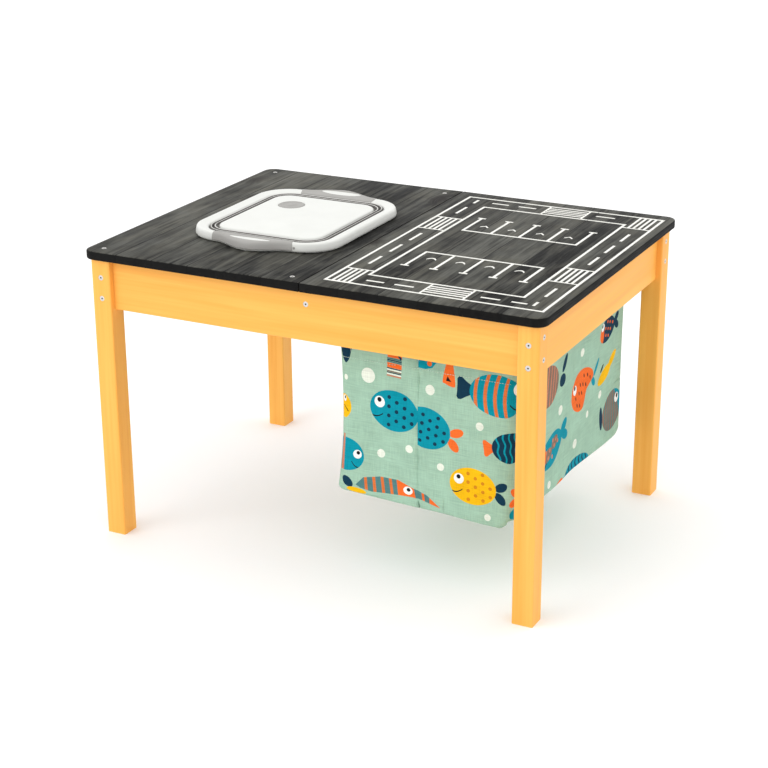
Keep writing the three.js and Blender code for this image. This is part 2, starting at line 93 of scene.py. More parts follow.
WHITE, BLACK = (1.0, 1.0, 1.0, 1.0), (0.0, 0.0, 0.0, 1.0)

# ---- camera

LENS = 85.39
CAMERA_AT = (1.3066, -2.5863, 1.3351)
CAMERA_AZIMUTH, CAMERA_ELEVATION, CAMERA_ROLL = 26.953, 20.805, -0.324


def aim(azimuth, elevation, roll):
    """Rotation that looks down the given direction; azimuth 0 looks along +Y."""
    a, e, t = (radians(v) for v in (azimuth, elevation, roll))
    back = Vector((sin(a) * cos(e), -cos(a) * cos(e), sin(e)))
    right = (-back).cross(Vector((0, 0, 1))).normalized()
    up = right.cross(-back)
    side = cos(t) * right + sin(t) * up
    top = -sin(t) * right + cos(t) * up
    return Matrix((side, top, back)).transposed().to_4x4()


camera = bpy.data.objects.new("camera", bpy.data.cameras.new("camera"))
camera.data.lens = LENS
camera.data.sensor_width = 36
camera.data.clip_end = 100
camera.matrix_world = Matrix.Translation(CAMERA_AT) @ aim(CAMERA_AZIMUTH, CAMERA_ELEVATION, CAMERA_ROLL)
scene.collection.objects.link(camera)
scene.camera = camera
scene.view_settings.view_transform = "Standard"

# ---- materials


class Shader:
    """A principled material put together one node at a time."""

    def __init__(self, name, **sockets):
        self.material = bpy.data.materials.new(name)
        self.material.use_nodes = True
        self.tree = self.material.node_tree
        self.surface = self.tree.nodes["Principled BSDF"]
        for key, value in sockets.items():
            self.surface.inputs[key.replace("_", " ")].default_value = value

    def add(self, kind, inputs, out=0, **settings):
        node = self.tree.nodes.new("ShaderNode" + kind)
        for key, value in settings.items():
            setattr(node, key, value)
        for key, value in inputs.items():
            if isinstance(value, bpy.types.NodeSocket):
                self.tree.links.new(value, node.inputs[key])
            else:
                node.inputs[key].default_value = value
        return node.outputs[out]

    def coordinates(self):
        return self.add("TexCoord", {}, out="Object")

    def scaled(self, vector, scale):
        return self.add("VectorMath", {0: vector, 1: scale}, operation="MULTIPLY")

    def noise(self, vector, scale=1.0, detail=3.0, roughness=0.5, distortion=0.0):
        settings = {"Vector": vector, "Scale": scale, "Detail": detail}
        return self.add("TexNoise", {**settings, "Roughness": roughness, "Distortion": distortion})

    def math(self, how, a, b=0.0):
        return self.add("Math", {0: a, 1: b}, operation=how)

    def total(self, a, share_a, b, share_b):
        return self.math("ADD", self.math("MULTIPLY", a, share_a), self.math("MULTIPLY", b, share_b))

    def swing(self, value, amount):
        """Turns a value between 0 and 1 into one that swings about 0."""
        return self.math("MULTIPLY", self.math("SUBTRACT", value, 0.5), amount)

    def spread(self, value, low, high, to_low=0.0, to_high=1.0):
        settings = {"Value": value, "From Min": low, "From Max": high}
        return self.add("MapRange", {**settings, "To Min": to_low, "To Max": to_high})

    def mix(self, share, a, b, how="MIX"):
        return self.add("Mix", {0: share, 6: a, 7: b}, out=2, data_type="RGBA", blend_type=how)

    def colour(self, value):
        self.tree.links.new(value, self.surface.inputs["Base Color"])

    def rough(self, value):
        self.tree.links.new(value, self.surface.inputs["Roughness"])

    def bump(self, height, distance, strength=1.0):
        normal = self.add("Bump", {"Height": height, "Distance": distance, "Strength": strength})
        self.tree.links.new(normal, self.surface.inputs["Normal"])


PAINT = rgb(250, 180, 78)


def frame_paint(axis):
    """Satin amber paint over pine, with the grain running along one axis."""
    s = Shader("frame_paint_" + "xyz"[axis], Roughness=0.48, Specular_IOR_Level=0.3)
    place = s.coordinates()
    fine = s.noise(s.scaled(place, [5 if i == axis else 210 for i in range(3)]), detail=4)
    wide = s.noise(s.scaled(place, [2 if i == axis else 34 for i in range(3)]), detail=2, distortion=0.6)
    both = s.total(fine, 0.45, wide, 0.55)
    share = s.spread(both, 0.36, 0.66)
    dark, light = towards(PAINT, rgb(226, 140, 52), 0.3), towards(PAINT, rgb(255, 205, 120), 0.22)
    s.colour(s.mix(share, dark, light))
    s.rough(s.spread(fine, 0.3, 0.7, 0.4, 0.56))
    s.bump(both, 0.0007, 0.35)
    return s.material


PLANK_WIDTH = 0.0667
STAIN_WARM = (1.0, 0.92, 0.78, 1.0)


def top_stain(name, light, dark, knot):
    """Charcoal stain on glued pine boards that run along Y, each with its own tone."""
    s = Shader(name, Roughness=0.62, Specular_IOR_Level=0.14)
    place = s.coordinates()
    parts = s.tree.nodes.new("ShaderNodeSeparateXYZ")
    s.tree.links.new(place, parts.inputs[0])
    board = s.math("FLOOR", s.math("DIVIDE", parts.outputs[0], PLANK_WIDTH))
    tone = s.add("TexWhiteNoise", {"W": board}, noise_dimensions="1D")
    shift = s.math("ADD", parts.outputs[1], s.math("MULTIPLY", tone, 7.0))
    along = s.add("CombineXYZ", {"X": parts.outputs[0], "Y": shift, "Z": parts.outputs[2]})
    ragged = s.math("MULTIPLY", s.noise(along, 60, 2), 0.09)
    cell = {"Vector": s.scaled(along, (1.0, 0.6, 1.0)), "Scale": 9.5}
    eye = s.spread(s.math("ADD", s.add("TexVoronoi", cell, out="Distance"), ragged), 0.27, 0.12)
    push = s.add("CombineXYZ", {"X": s.math("MULTIPLY", eye, 0.012)})
    pushed = s.add("VectorMath", {0: along, 1: push}, operation="ADD")
    streak = s.noise(s.scaled(pushed, (75, 3.4, 75)), detail=6, roughness=0.68, distortion=0.8)
    fibre = s.noise(s.scaled(pushed, (520, 20, 520)), detail=2)
    share = s.total(streak, 0.7, fibre, 0.3)
    cloud = s.noise(s.scaled(along, (13, 6.5, 13)), detail=4, roughness=0.6)
    share = s.math("ADD", share, s.swing(tone, 0.12))
    share = s.math("ADD", share, s.swing(cloud, 0.5))
    across = s.math("FRACT", s.math("DIVIDE", parts.outputs[0], PLANK_WIDTH))
    glue = s.spread(s.math("ABSOLUTE", s.math("SUBTRACT", across, 0.5)), 0.484, 0.496)
    share = s.math("SUBTRACT", share, s.math("MULTIPLY", glue, 0.35))
    wood = s.mix(s.spread(share, 0.36, 0.66), dark, light)
    warmth = s.spread(s.noise(along, 21, 3), 0.4, 0.62)
    wood = s.mix(s.math("MULTIPLY", warmth, 0.4), wood, s.mix(1.0, wood, STAIN_WARM, "MULTIPLY"))
    s.colour(s.mix(s.math("MULTIPLY", eye, 0.8), wood, knot))
    s.rough(s.spread(fibre, 0.3, 0.7, 0.56, 0.76))
    s.bump(share, 0.0009, 0.6)
    return s.material


def bare_wood():
    s = Shader("plain_wood", Roughness=0.6)
    grain = s.noise(s.scaled(s.coordinates(), (6, 190, 190)), detail=4, distortion=0.4)
    s.colour(s.mix(s.spread(grain, 0.35, 0.65), rgb(196, 152, 98), rgb(228, 192, 142)))
    s.bump(grain, 0.0006, 0.4)
    return s.material


MOTTLE = 0.03


def moulded(name, colour, roughness, texture=0.0):
    """Moulded plastic or rubber with a faint uneven sheen and, if asked, a fine texture."""
    s = Shader(name, Roughness=roughness)
    place = s.coordinates()
    slow = s.noise(place, 22, 2)
    grit = s.noise(place, 1400, 2)
    dark, light = towards(colour, BLACK, MOTTLE), towards(colour, WHITE, MOTTLE)
    s.colour(s.mix(s.spread(slow, 0.3, 0.7), dark, light))
    s.rough(s.spread(grit, 0.3, 0.7, roughness - 0.05, roughness + 0.05))
    s.bump(s.total(slow, 0.8, grit, texture), 0.0005, 0.25)
    return s.material


def print_paint():
    """Off-white screen paint that lets a little of the grain through."""
    s = Shader("road_paint", Roughness=0.5)
    place = s.coordinates()
    worn = s.noise(s.scaled(place, (420, 12, 420)), detail=3)
    blot = s.noise(place, 60, 3)
    share = s.total(worn, 0.7, blot, 0.3)
    s.colour(s.mix(s.spread(share, 0.34, 0.5), rgb(205, 205, 198), rgb(240, 239, 232)))
    s.bump(worn, 0.0004, 0.3)
    return s.material


def metal(name, colour, roughness):
    s = Shader(name, Roughness=roughness, Metallic=0.9)
    mark = s.noise(s.coordinates(), 900, 2)
    s.colour(s.mix(s.spread(mark, 0.3, 0.7), towards(colour, BLACK, 0.12), colour))
    s.rough(s.spread(mark, 0.3, 0.7, roughness - 0.06, roughness + 0.08))
    s.bump(mark, 0.0002, 0.3)
    return s.material


def cloth(name, ink, inside=False):
    """Slubby cotton weave printed with one ink; all inks share the same threads."""
    s = Shader(name, Roughness=0.92, Specular_IOR_Level=0.1, Sheen_Weight=0.02, Sheen_Roughness=0.6)
    flat = s.add("TexCoord", {}, out="UV")
    weft = s.noise(s.scaled(flat, (26, 820, 1)), detail=2, roughness=0.6)
    warp = s.noise(s.scaled(flat, (820, 34, 1)), detail=2, roughness=0.6)
    threads = s.total(weft, 0.58, warp, 0.42)
    crossed = {"Vector": s.scaled(flat, (1, 1, 0)), "Scale": 520.0, "Distortion": 1.5, "Detail": 1.0}
    weave = s.add("TexWave", crossed, out="Fac")
    blotch = s.swing(s.noise(flat, 30, 3), 0.35)
    colour = towards(ink, WHITE, 0.5) if inside else ink
    dark, light = shaded(colour, 0.82), shaded(colour, 1.13)
    s.colour(s.mix(s.spread(s.math("ADD", threads, blotch), 0.34, 0.66), dark, light))
    s.bump(s.total(threads, 0.8, weave, 0.2), 0.0009, 0.5)
    return s.material


paint_along = [frame_paint(axis) for axis in range(3)]
stain = top_stain("top_stain", rgb(98, 98, 92), rgb(13, 13, 12), rgb(24, 17, 13))
stain_edge = top_stain("top_stain_edge", rgb(17, 17, 16), rgb(3, 3, 3), rgb(6, 5, 4))
road_paint = print_paint()
wood = bare_wood()
white_plastic = moulded("white_plastic", rgb(221, 222, 217), 0.36)
# Pale rubber for the bands' ridges: painted highlight, lighter than the grey the rubber really is.
rubber_painted_highlight = moulded("rubber_painted_highlight", rgb(206, 205, 200), 0.55, texture=0.3)
grey_rubber = moulded("grey_rubber", rgb(158, 156, 152), 0.58, texture=0.3)
# Dark rubber for the bands' creases: painted shade.
rubber_painted_shade = moulded("rubber_painted_shade", rgb(66, 62, 58), 0.6, texture=0.3)
steel = metal("steel", rgb(214, 212, 208), 0.34)
# Darker steel in the sockets of bolts and screws: painted shade in the recess.
steel_painted_shade = metal("socket", rgb(90, 84, 80), 0.5)
thread = moulded("thread", rgb(196, 216, 200), 0.9, texture=1.0)

# ---- mesh helpers


WELD_WITHIN, SHORTEST_EDGE = 2e-6, 1e-7


def piece(name, body, parts, materials, slot, smooth=35, stands_for=(), solid=True, uvs=None):
    """A mesh from parts in millimetres; doubles are welded and it rides on a body."""
    mesh = bpy.data.meshes.new(name)
    mesh.from_pydata([tuple(c * MM for c in p) for p in parts.points], [], [tuple(f) for f in parts.faces])
    for m in materials:
        mesh.materials.append(m)
    mesh.polygons.foreach_set("material_index", parts.marks)
    if uvs is not None:
        layer = mesh.uv_layers.new(name="cloth")
        corner = np.zeros(len(mesh.loops), np.int32)
        mesh.loops.foreach_get("vertex_index", corner)
        layer.data.foreach_set("uv", (np.array(uvs, np.float32)[corner] * MM).ravel())
    work = bmesh.new()
    work.from_mesh(mesh)
    bmesh.ops.remove_doubles(work, verts=work.verts, dist=WELD_WITHIN)
    bmesh.ops.dissolve_degenerate(work, dist=SHORTEST_EDGE, edges=work.edges)
    if solid:
        bmesh.ops.recalc_face_normals(work, faces=work.faces)
    work.to_mesh(mesh)
    work.free()
    mesh.polygons.foreach_set("use_smooth", [True] * len(mesh.polygons))
    mesh.set_sharp_from_angle(angle=radians(smooth))
    obj = bpy.data.objects.new(name, mesh)
    scene.collection.objects.link(obj)
    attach(obj, body)
    if stands_for:
        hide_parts(*stands_for)
    return obj


def look(node, parts, materials, slot, smooth=35, **more):
    """The finer piece that takes a CAD node's place."""
    return piece(node + ".look", BODY_OF[node], parts, materials, slot, smooth, [node], **more)


class Parts:
    """Points and faces gathered from several shapes, for one piece."""

    def __init__(self):
        self.points, self.faces, self.marks = [], [], []

    def put(self, points, faces, mark=0):
        first = len(self.points)
        self.points += list(points)
        self.faces += [[first + i for i in f] for f in faces]
        self.marks += list(mark) if isinstance(mark, (list, tuple)) else [mark] * len(faces)

    def loft(self, rings, closed=False, caps=(False, False), mark=0):
        """Quads between rings that have the same number of points."""
        count, n = len(rings), len(rings[0])
        faces = []
        for i in range(count if closed else count - 1):
            a, b = i * n, (i + 1) % count * n
            faces += [(a + j, a + (j + 1) % n, b + (j + 1) % n, b + j) for j in range(n)]
        if caps[0]:
            faces.append(tuple(range(n)))
        if caps[1]:
            faces.append(tuple((count - 1) * n + j for j in range(n)))
        self.put([p for ring in rings for p in ring], faces, mark)


def rounded(cx, cy, hx, hy, r, corner=12, straight=14):
    """Anticlockwise rounded rectangle, from half sizes; same point count for any size."""
    points = []
    for turn, (sx, sy) in enumerate(((1, -1), (1, 1), (-1, 1), (-1, -1))):
        px, py = cx + sx * (hx - r), cy + sy * (hy - r)
        for k in range(corner + 1):
            a = radians(90 * (turn - 1) + 90 * k / corner)
            points.append((px + r * cos(a), py + r * sin(a)))
        nx, ny = ((1, 1), (-1, 1), (-1, -1), (1, -1))[turn]
        a = radians(90 * turn)
        end = points[-1]
        start = (cx + nx * (hx - r) + r * cos(a), cy + ny * (hy - r) + r * sin(a))
        for k in range(1, straight):
            points.append(tuple(e + (b - e) * k / straight for e, b in zip(end, start)))
    return points


def circle(cx, cy, r, n):
    turns = [2 * pi * k / n for k in range(n)]
    return [(cx + r * cos(a), cy + r * sin(a)) for a in turns]


def inset(points, reach):
    """Moves an anticlockwise outline inwards; reach is one number or one for each point."""
    n = len(points)
    p = np.array(points, float)
    before, after = p - np.roll(p, 1, 0), np.roll(p, -1, 0) - p
    before /= np.linalg.norm(before, axis=1)[:, None]
    after /= np.linalg.norm(after, axis=1)[:, None]
    half = before + after
    half /= np.linalg.norm(half, axis=1)[:, None]
    normal = np.stack([-half[:, 1], half[:, 0]], 1)
    widen = 1 / np.maximum(0.35, np.sum(half * after, 1))
    return [tuple(v) for v in p + normal * (np.broadcast_to(reach, n) * widen)[:, None]]


def at(points, z):
    return [(x, y, z) for x, y in points]


def anticlockwise(ring):
    area = sum(a[0] * b[1] - b[0] * a[1] for a, b in zip(ring, ring[1:] + ring[:1]))
    return ring if area > 0 else ring[::-1]


def triangles(outline, holes=(), shapes=(), extra=()):
    """Delaunay triangles inside an outline: points, faces, and the shapes that each face lies in."""
    points, rings = [], []
    for ring in map(anticlockwise, [list(r) for r in (outline, *holes, *shapes)]):
        rings.append(list(range(len(points), len(points) + len(ring))))
        points += [Vector(p) for p in ring]
    points += [Vector(p) for p in extra]
    made = delaunay_2d_cdt(points, [], rings, 0, 1e-4, True)
    bars = set(range(1, 1 + len(holes)))
    faces, inside = [], []
    for face, found in zip(made[2], made[5]):
        if 0 in found and not bars & set(found):
            faces.append(tuple(face))
            inside.append([f - 1 - len(holes) for f in found if f > len(holes)])
    return [tuple(p) for p in made[0]], faces, inside


def rim_of(faces):
    """Edges that only one face has, in that face's direction."""
    edges = dict.fromkeys(edge for f in faces for edge in zip(f, f[1:] + f[:1]))
    return [(a, b) for a, b in edges if (b, a) not in edges]


def slab(points, faces, z0, z1):
    """Flat shape of some thickness, from its triangles."""
    parts = Parts()
    n = len(points)
    both = at(points, z0) + at(points, z1)
    parts.put(both, [f[::-1] for f in faces] + [tuple(i + n for i in f) for f in faces])
    parts.put(both, [(a, b, b + n, a + n) for a, b in rim_of(faces)])
    return parts


PLATE_STEPS = 4
WIDE_HOLE, WIDE_EASE, SCREW_EASE = 30, 2.0, 0.12


def hole_ease(ring):
    """Rounding of a hole's edge: a large opening gets more than a screw's."""
    xs = [p[0] for p in ring]
    return WIDE_EASE if max(xs) - min(xs) > WIDE_HOLE else SCREW_EASE


def plate(outline, holes, z0, z1, ease):
    """Board with rounded edges; ease is the outline's rounding, one number for each point."""
    parts = Parts()
    turns = [pi / 2 * k / PLATE_STEPS for k in range(PLATE_STEPS + 1)]
    for ring, reach in [(outline, ease)] + [(h, -hole_ease(h)) for h in holes]:
        drop = np.broadcast_to(np.abs(reach), len(ring))
        ends = []
        for face, way in ((z1, -1), (z0, 1)):
            rings = []
            for t in turns:
                moved = inset(ring, reach * (1 - sin(t)))
                rings.append([(x, y, face + way * d * (1 - cos(t))) for (x, y), d in zip(moved, drop)])
            parts.loft(rings[:3], mark=int(way > 0))
            parts.loft(rings[2:], mark=1)
            ends.append(rings[-1])
        parts.loft(ends, mark=1)
    points, faces, _ = triangles(inset(outline, ease), [inset(h, -hole_ease(h)) for h in holes])
    parts.put(at(points, z1), faces)
    parts.put(at(points, z0), [f[::-1] for f in faces])
    return parts


# ---- frame parts

def dress(node, material):
    obj = frame["nodes"][node]
    obj.data.materials.clear()
    obj.data.materials.append(material)


ENDS, SIDES = ("front", "back"), ("left", "right")
for end in ENDS:
    for side in SIDES:
        dress(f"leg_{end}_{side}", paint_along[2])
    dress(f"apron_{end}", paint_along[0])
    dress(f"barrel_nut_cross_rail_{end}", steel)
    dress(f"top_batten_{end}", wood)
for side in SIDES:
    dress(f"apron_{side}", paint_along[1])
dress("cross_rail", paint_along[1])
for node in frame["nodes"]:
    if node.startswith("nut_plate"):
        dress(node, steel)


FASTENER_SIDES = 48


def by_angle(reach):
    """Ring of (angle, radius) pairs; reach gives the radius at an angle."""
    angles = [2 * pi * k / FASTENER_SIDES for k in range(FASTENER_SIDES)]
    return [(a, reach(a)) for a in angles]


def hexagon(r):
    return by_angle(lambda a: r * cos(pi / 6) / cos((a + pi / 6) % (pi / 3) - pi / 6))


def cross(arm, half):
    """Plus shape, from its arms' length and half width."""
    def reach(a):
        b = abs((a + pi / 4) % (pi / 2) - pi / 4)
        return arm / cos(b) if tan(b) * arm <= half else half / sin(b)
    return by_angle(reach)


def fastener(node, outwards, head, sunk, socket, socket_depth):
    """Screw or bolt in the place of its CAD node: head with a socket, then a plain shank."""
    low, high = box(node)
    middle, size = (low + high) / 2, high - low
    axis = max(range(3), key=lambda i: size[i])
    outwards = outwards or copysign(1, middle[axis])
    way = Vector([outwards * (i == axis) for i in range(3)])
    across = Vector([float(i == (axis + 1) % 3) for i in range(3)])
    other = way.cross(across)
    length, shank = size[axis], head * 0.62
    tip = middle + way * length / 2
    edge, neck = (0.9, 0.9 + (head - shank)) if sunk else (2.6, 2.7)
    profile = [(socket, socket_depth), (socket, 0.35)]
    for radius, depth in ((head * 0.7, 0.12), (head - 0.45, 0.0), (head - 0.1, 0.15), (head, 0.5),
                          (head, edge), (shank, neck), (shank, length)):
        profile.append((by_angle(lambda a: radius), depth))
    rings = []
    for shape, depth in profile:
        centre = tip - way * depth
        rings.append([tuple(centre + across * (r * cos(a)) + other * (r * sin(a))) for a, r in shape])
    parts = Parts()
    # The socket's walls and floor take the darker steel as painted shade.
    parts.loft(rings[:2], caps=(True, False), mark=1)
    parts.loft(rings[1:], caps=(False, True))
    look(node, parts, [steel, steel_painted_shade], "steel", 30)


for node in sorted(frame["nodes"]):
    if node.startswith("bolt_"):
        fastener(node, None, 4.5, False, hexagon(1.5), 2.2)
    elif node.startswith(("top_screw", "batten_screw")):
        fastener(node, 1 if node.startswith("top") else -1, 4.0, True, cross(1.9, 0.45), 1.6)

for end in ENDS:
    low, high = box(f"bag_rod_{end}")
    middle, r, length = (low + high) / 2, (high.z - low.z) / 2, high.x - low.x
    tip = [(0.6 * r, 0.0), (0.9 * r, 0.4), (r, 1.4)]
    parts = Parts()
    rings = []
    for k, d in tip + [(k, length - d) for k, d in tip[::-1]]:
        rings.append([(low.x + d, y, z) for y, z in circle(middle.y, middle.z, k, 32)])
    parts.loft(rings, caps=(True, True))
    look(f"bag_rod_{end}", parts, [wood], "plain_wood")

# ---- table top

left_low, left_high = box("top_panel_left")
right_low, right_high = box("top_panel_right")
rim_low, rim_high = box("basin_rim")
BASIN_X, BASIN_Y = (rim_low.x + rim_high.x) / 2, (rim_low.y + rim_high.y) / 2
TOP_Z = left_high.z
CORNER_RADIUS, EDGE_EASE, SEAM_EASE = 20, 2.6, 0.7
CUTOUT_HALF_X, CUTOUT_HALF_Y, CUTOUT_RADIUS = 114.5, 137, 46
SCREW_CLEARANCE = 0.25


def half_top(node, low, high, holes, seam_x):
    """One half of the top: round outer corners, square ones at the seam."""
    cx, cy = (low.x + high.x) / 2, (low.y + high.y) / 2
    hx, hy, r = (high.x - low.x) / 2, (high.y - low.y) / 2, CORNER_RADIUS
    outer = [p for p in rounded(cx, cy, hx, hy, r, 10, 6) if abs(p[0] - seam_x) > r + 0.01]
    ring = outer + [(seam_x, low.y), (seam_x, high.y)]
    ring.sort(key=lambda p: atan2((p[1] - cy) / hy, (p[0] - cx) / hx))
    ease = [SEAM_EASE if abs(p[0] - seam_x) < 0.01 else EDGE_EASE for p in ring]
    look(node, plate(ring, holes, low.z, high.z, np.array(ease)), [stain, stain_edge], "top_stain", 40)


cutout = rounded(BASIN_X, BASIN_Y, CUTOUT_HALF_X, CUTOUT_HALF_Y, CUTOUT_RADIUS)
screw_holes = []
for end in ENDS:
    for spot in ("outer", "seam"):
        low, high = box(f"top_screw_{end}_{spot}")
        r = (high.y - low.y) / 2 + SCREW_CLEARANCE
        screw_holes.append(circle((low.x + high.x) / 2, (low.y + high.y) / 2, r, 32))
half_top("top_panel_left", left_low, left_high, [cutout, *screw_holes], left_high.x)
half_top("top_panel_right", right_low, right_high, [], right_low.x)

# Road print: white lines on the right half. Lengths in millimetres from the table's centre.
LINE = 4.6
STRIPES, STRIPE, CROSSING_BAR = 4, 4.3, 3.4
ROAD_OUT = (25, 386, -268, 273)
ROAD_IN = (75, 336, -218, 221)
GLUE_LINE_X, GLUE_GAP = 267.8, 0.9


def rect(x0, x1, y0, y1):
    return [(x0, y0), (x1, y0), (x1, y1), (x0, y1)]


def outline_lines(x0, x1, y0, y1):
    yield rect(x0, x1, y0, y0 + LINE)
    yield rect(x0, x1, y1 - LINE, y1)
    yield rect(x0, x0 + LINE, y0, y1)
    yield rect(x1 - LINE, x1, y0, y1)


def crossing(along, across, along_x):
    """Zebra crossing: stripes along the road, spread over its width, and a bar at both ends."""
    pitch = (across[1] - across[0]) / (STRIPES + 1)
    bars = []
    for k in range(1, STRIPES + 1):
        a = across[0] + pitch * k - STRIPE / 2
        bars.append((*along, a, a + STRIPE))
    bars.append((along[0], along[0] + CROSSING_BAR, *across))
    bars.append((along[1] - CROSSING_BAR, along[1], *across))
    return [rect(*bar) if along_x else rect(*bar[2:], *bar[:2]) for bar in bars]


def bow(cx, cy, width, rise, thickness, pointed):
    """Small direction mark: a chevron or an arch."""
    steps = 2 if pointed else 8
    upper = []
    for k in range(steps + 1):
        upper.append((cx + width * (k / steps - 0.5), cy + rise * (1 - (2 * k / steps - 1) ** 2)))
    return [(x, y - thickness) for x, y in upper] + upper[::-1]


road = [*outline_lines(*ROAD_OUT), *outline_lines(*ROAD_IN)]
road_left, road_right = (ROAD_OUT[0] + LINE, ROAD_IN[0]), (ROAD_IN[1], ROAD_OUT[1] - LINE)
road_low, road_high = (ROAD_OUT[2] + LINE, ROAD_IN[2]), (ROAD_IN[3], ROAD_OUT[3] - LINE)
for road_side, spans in ((road_left, ((54, 132), (-266, -195))), (road_right, ((200, 271), (-126, -50)))):
    for along in spans:
        road += crossing(along, road_side, False)
road += crossing((180, 256), road_high, True)
road += crossing((184, 258), road_low, True)

# Dashes of the centre lines: where each line lies, then where its dashes start and end.
DASHES_ALONG_Y = {
    50: ((234, 256), (161, 205), (-20, 25), (-92, -48), (-165, -121)),
    361: ((122, 166), (50, 94), (-22, 23), (-200, -156), (-247, -228)),
}
DASHES_ALONG_X = {
    247: ((80, 111), (130, 162), (272, 306)),
    -243: ((86, 116), (134, 166), (276, 307), (325, 350)),
}
for x, runs in DASHES_ALONG_Y.items():
    road += [rect(x - LINE / 2, x + LINE / 2, a, b) for a, b in runs]
for y, runs in DASHES_ALONG_X.items():
    road += [rect(a, b, y - LINE / 2, y + LINE / 2) for a, b in runs]
BAY_X, BAY_PITCH, BAY_COUNT, BAY_LENGTH, BAY_END = 103.5, 50, 4, 79, 7
for base, way, mark_width in ((71, 1, 14), (-68, -1, 16)):
    wide = BAY_X + BAY_PITCH * BAY_COUNT
    road.append(rect(BAY_X - LINE / 2, wide + LINE / 2, base - LINE / 2, base + LINE / 2))
    end = base + way * BAY_LENGTH
    for k in range(BAY_COUNT + 1):
        x = BAY_X + BAY_PITCH * k
        road.append(rect(x - LINE / 2, x + LINE / 2, min(base, end), max(base, end)))
        road.append(rect(x - BAY_END, x + BAY_END, end - LINE / 2, end + LINE / 2))
    for k in range(BAY_COUNT):
        road.append(bow(BAY_X + BAY_PITCH * (k + 0.5), base + way * 33, mark_width, 7, 4.4, way > 0))
sheet_edge = rect(right_low.x + 2, right_high.x - 3, right_low.y + 3, right_high.y - 3)
gap = rect(GLUE_LINE_X - GLUE_GAP / 2, GLUE_LINE_X + GLUE_GAP / 2, right_low.y, right_high.y)
points, faces, inside = triangles(sheet_edge, [gap], road)
painted = slab(points, [f for f, found in zip(faces, inside) if found], TOP_Z - 0.3, TOP_Z + 0.12)
piece("road_print", BODY_OF["top_panel_right"], painted, [road_paint], "white_plastic")

# ---- basin

RIM_HALF_X, RIM_HALF_Y, RIM_RADIUS = 133, 152, 61
WELL_HALF_X, WELL_HALF_Y, WELL_RADIUS = 110.5, 133, 42
HANDLE_REACH, HANDLE_HALF = 25, 74
RIM_BOTTOM, RIM_TOP, SKIRT_BOTTOM = TOP_Z + 0.3, rim_high.z, rim_low.z


def handle_bump(x):
    return HANDLE_REACH * cos(pi / 2 * x / HANDLE_HALF) ** 2 if abs(x) < HANDLE_HALF else 0.0


well = rounded(BASIN_X, BASIN_Y, WELL_HALF_X, WELL_HALF_Y, WELL_RADIUS, 14, 36)
outer = []
for x, y in rounded(BASIN_X, BASIN_Y, RIM_HALF_X, RIM_HALF_Y, RIM_RADIUS, 14, 36):
    bump = handle_bump(x - BASIN_X) if abs(y - BASIN_Y) > RIM_HALF_Y - 3 else 0
    outer.append((x, y + copysign(bump, y - BASIN_Y)))

INNER_ROLL, OUTER_ROLL, DISH = 5.0, 6.6, 2.4

# Section of the rim: ("out", mm inside the outer edge, z), ("in", mm outside the well, z) or
# ("mid", share of the dished width between them, not used).
RIM_SECTION = [("out", d, RIM_BOTTOM + z) for d, z in ((4.0, 0), (1.6, 1.4), (0.3, 3.2), (0.0, 4.2))]
ROLL = ((0.4, 8), (1.1, 5), (1.6, 2.9), (2.8, 1.1), (4.6, 0.2), (OUTER_ROLL, 0))
RIM_SECTION += [("out", d, RIM_TOP - z) for d, z in ROLL]
RIM_SECTION += [("mid", 0.7, 0), ("mid", 0.35, 0)]
ROLL = ((INNER_ROLL, DISH), (3.0, 2.9), (1.2, 4.0), (0.3, 5.8), (0.0, 8))
RIM_SECTION += [("in", d, RIM_TOP - z) for d, z in ROLL]
SKIRT_SECTION = [("in", d, SKIRT_BOTTOM + z) for d, z in ((0.0, 0.6), (0.7, 0), (1.9, 0), (2.5, 0.6))]
SKIRT_SECTION += [("in", 2.5, RIM_BOTTOM)]


def rim_point(kind, value, z, inner_xy, outer_xy):
    a, b = Vector(inner_xy), Vector(outer_xy)
    span = b - a
    if kind == "out":
        p = b - span.normalized() * value
    elif kind == "in":
        p = a + span.normalized() * value
    else:
        width = span.length - (INNER_ROLL + OUTER_ROLL)
        p = a + span.normalized() * (INNER_ROLL + width * value)
        z = RIM_TOP - DISH * (1 - value)
    return (p.x, p.y, z)


parts = Parts()
rings = []
for kind, value, z in RIM_SECTION + SKIRT_SECTION:
    rings.append([rim_point(kind, value, z, i, o) for i, o in zip(well, outer)])
parts.loft(rings, closed=True)
look("basin_rim", parts, [white_plastic], "white_plastic", 50)

GRIP_SECTION = [s for s in RIM_SECTION[2:] if s[0] != "in" or s[1] > 1][::-1]
GRIP_PROUD, GRIP_EDGE = 1.1, 1.7
GRIP_SCALE, GRIP_STEP = 50.0, 0.02
WINDOW_Y, WINDOW_HALF_X, WINDOW_HALF_Y = 156, 38, 8.5


def grip_path(x):
    """Handle's section at x: distances from the basin's centre, heights and shares of its length."""
    ys, zs = [], []
    for kind, v, z in GRIP_SECTION:
        p = rim_point(kind, v, z, (0, WELL_HALF_Y), (0, RIM_HALF_Y + handle_bump(x)))
        ys.append(p[1])
        zs.append(p[2])
    ys[-1] -= 0.01
    run = np.concatenate([[0], np.cumsum(np.hypot(np.diff(ys), np.diff(zs)))])
    return np.array(ys), np.array(zs), run / run[-1]


def grip_end(y):
    return 59 + 30 * (y - 100) / 100


def distance_to(ring, p):
    a = np.array(ring)
    b = np.roll(a, -1, 0)
    d = b - a
    t = np.clip(((p - a) * d).sum(1) / np.maximum((d * d).sum(1), 1e-9), 0, 1)
    return float(np.linalg.norm(a + d * t[:, None] - p, axis=1).min())


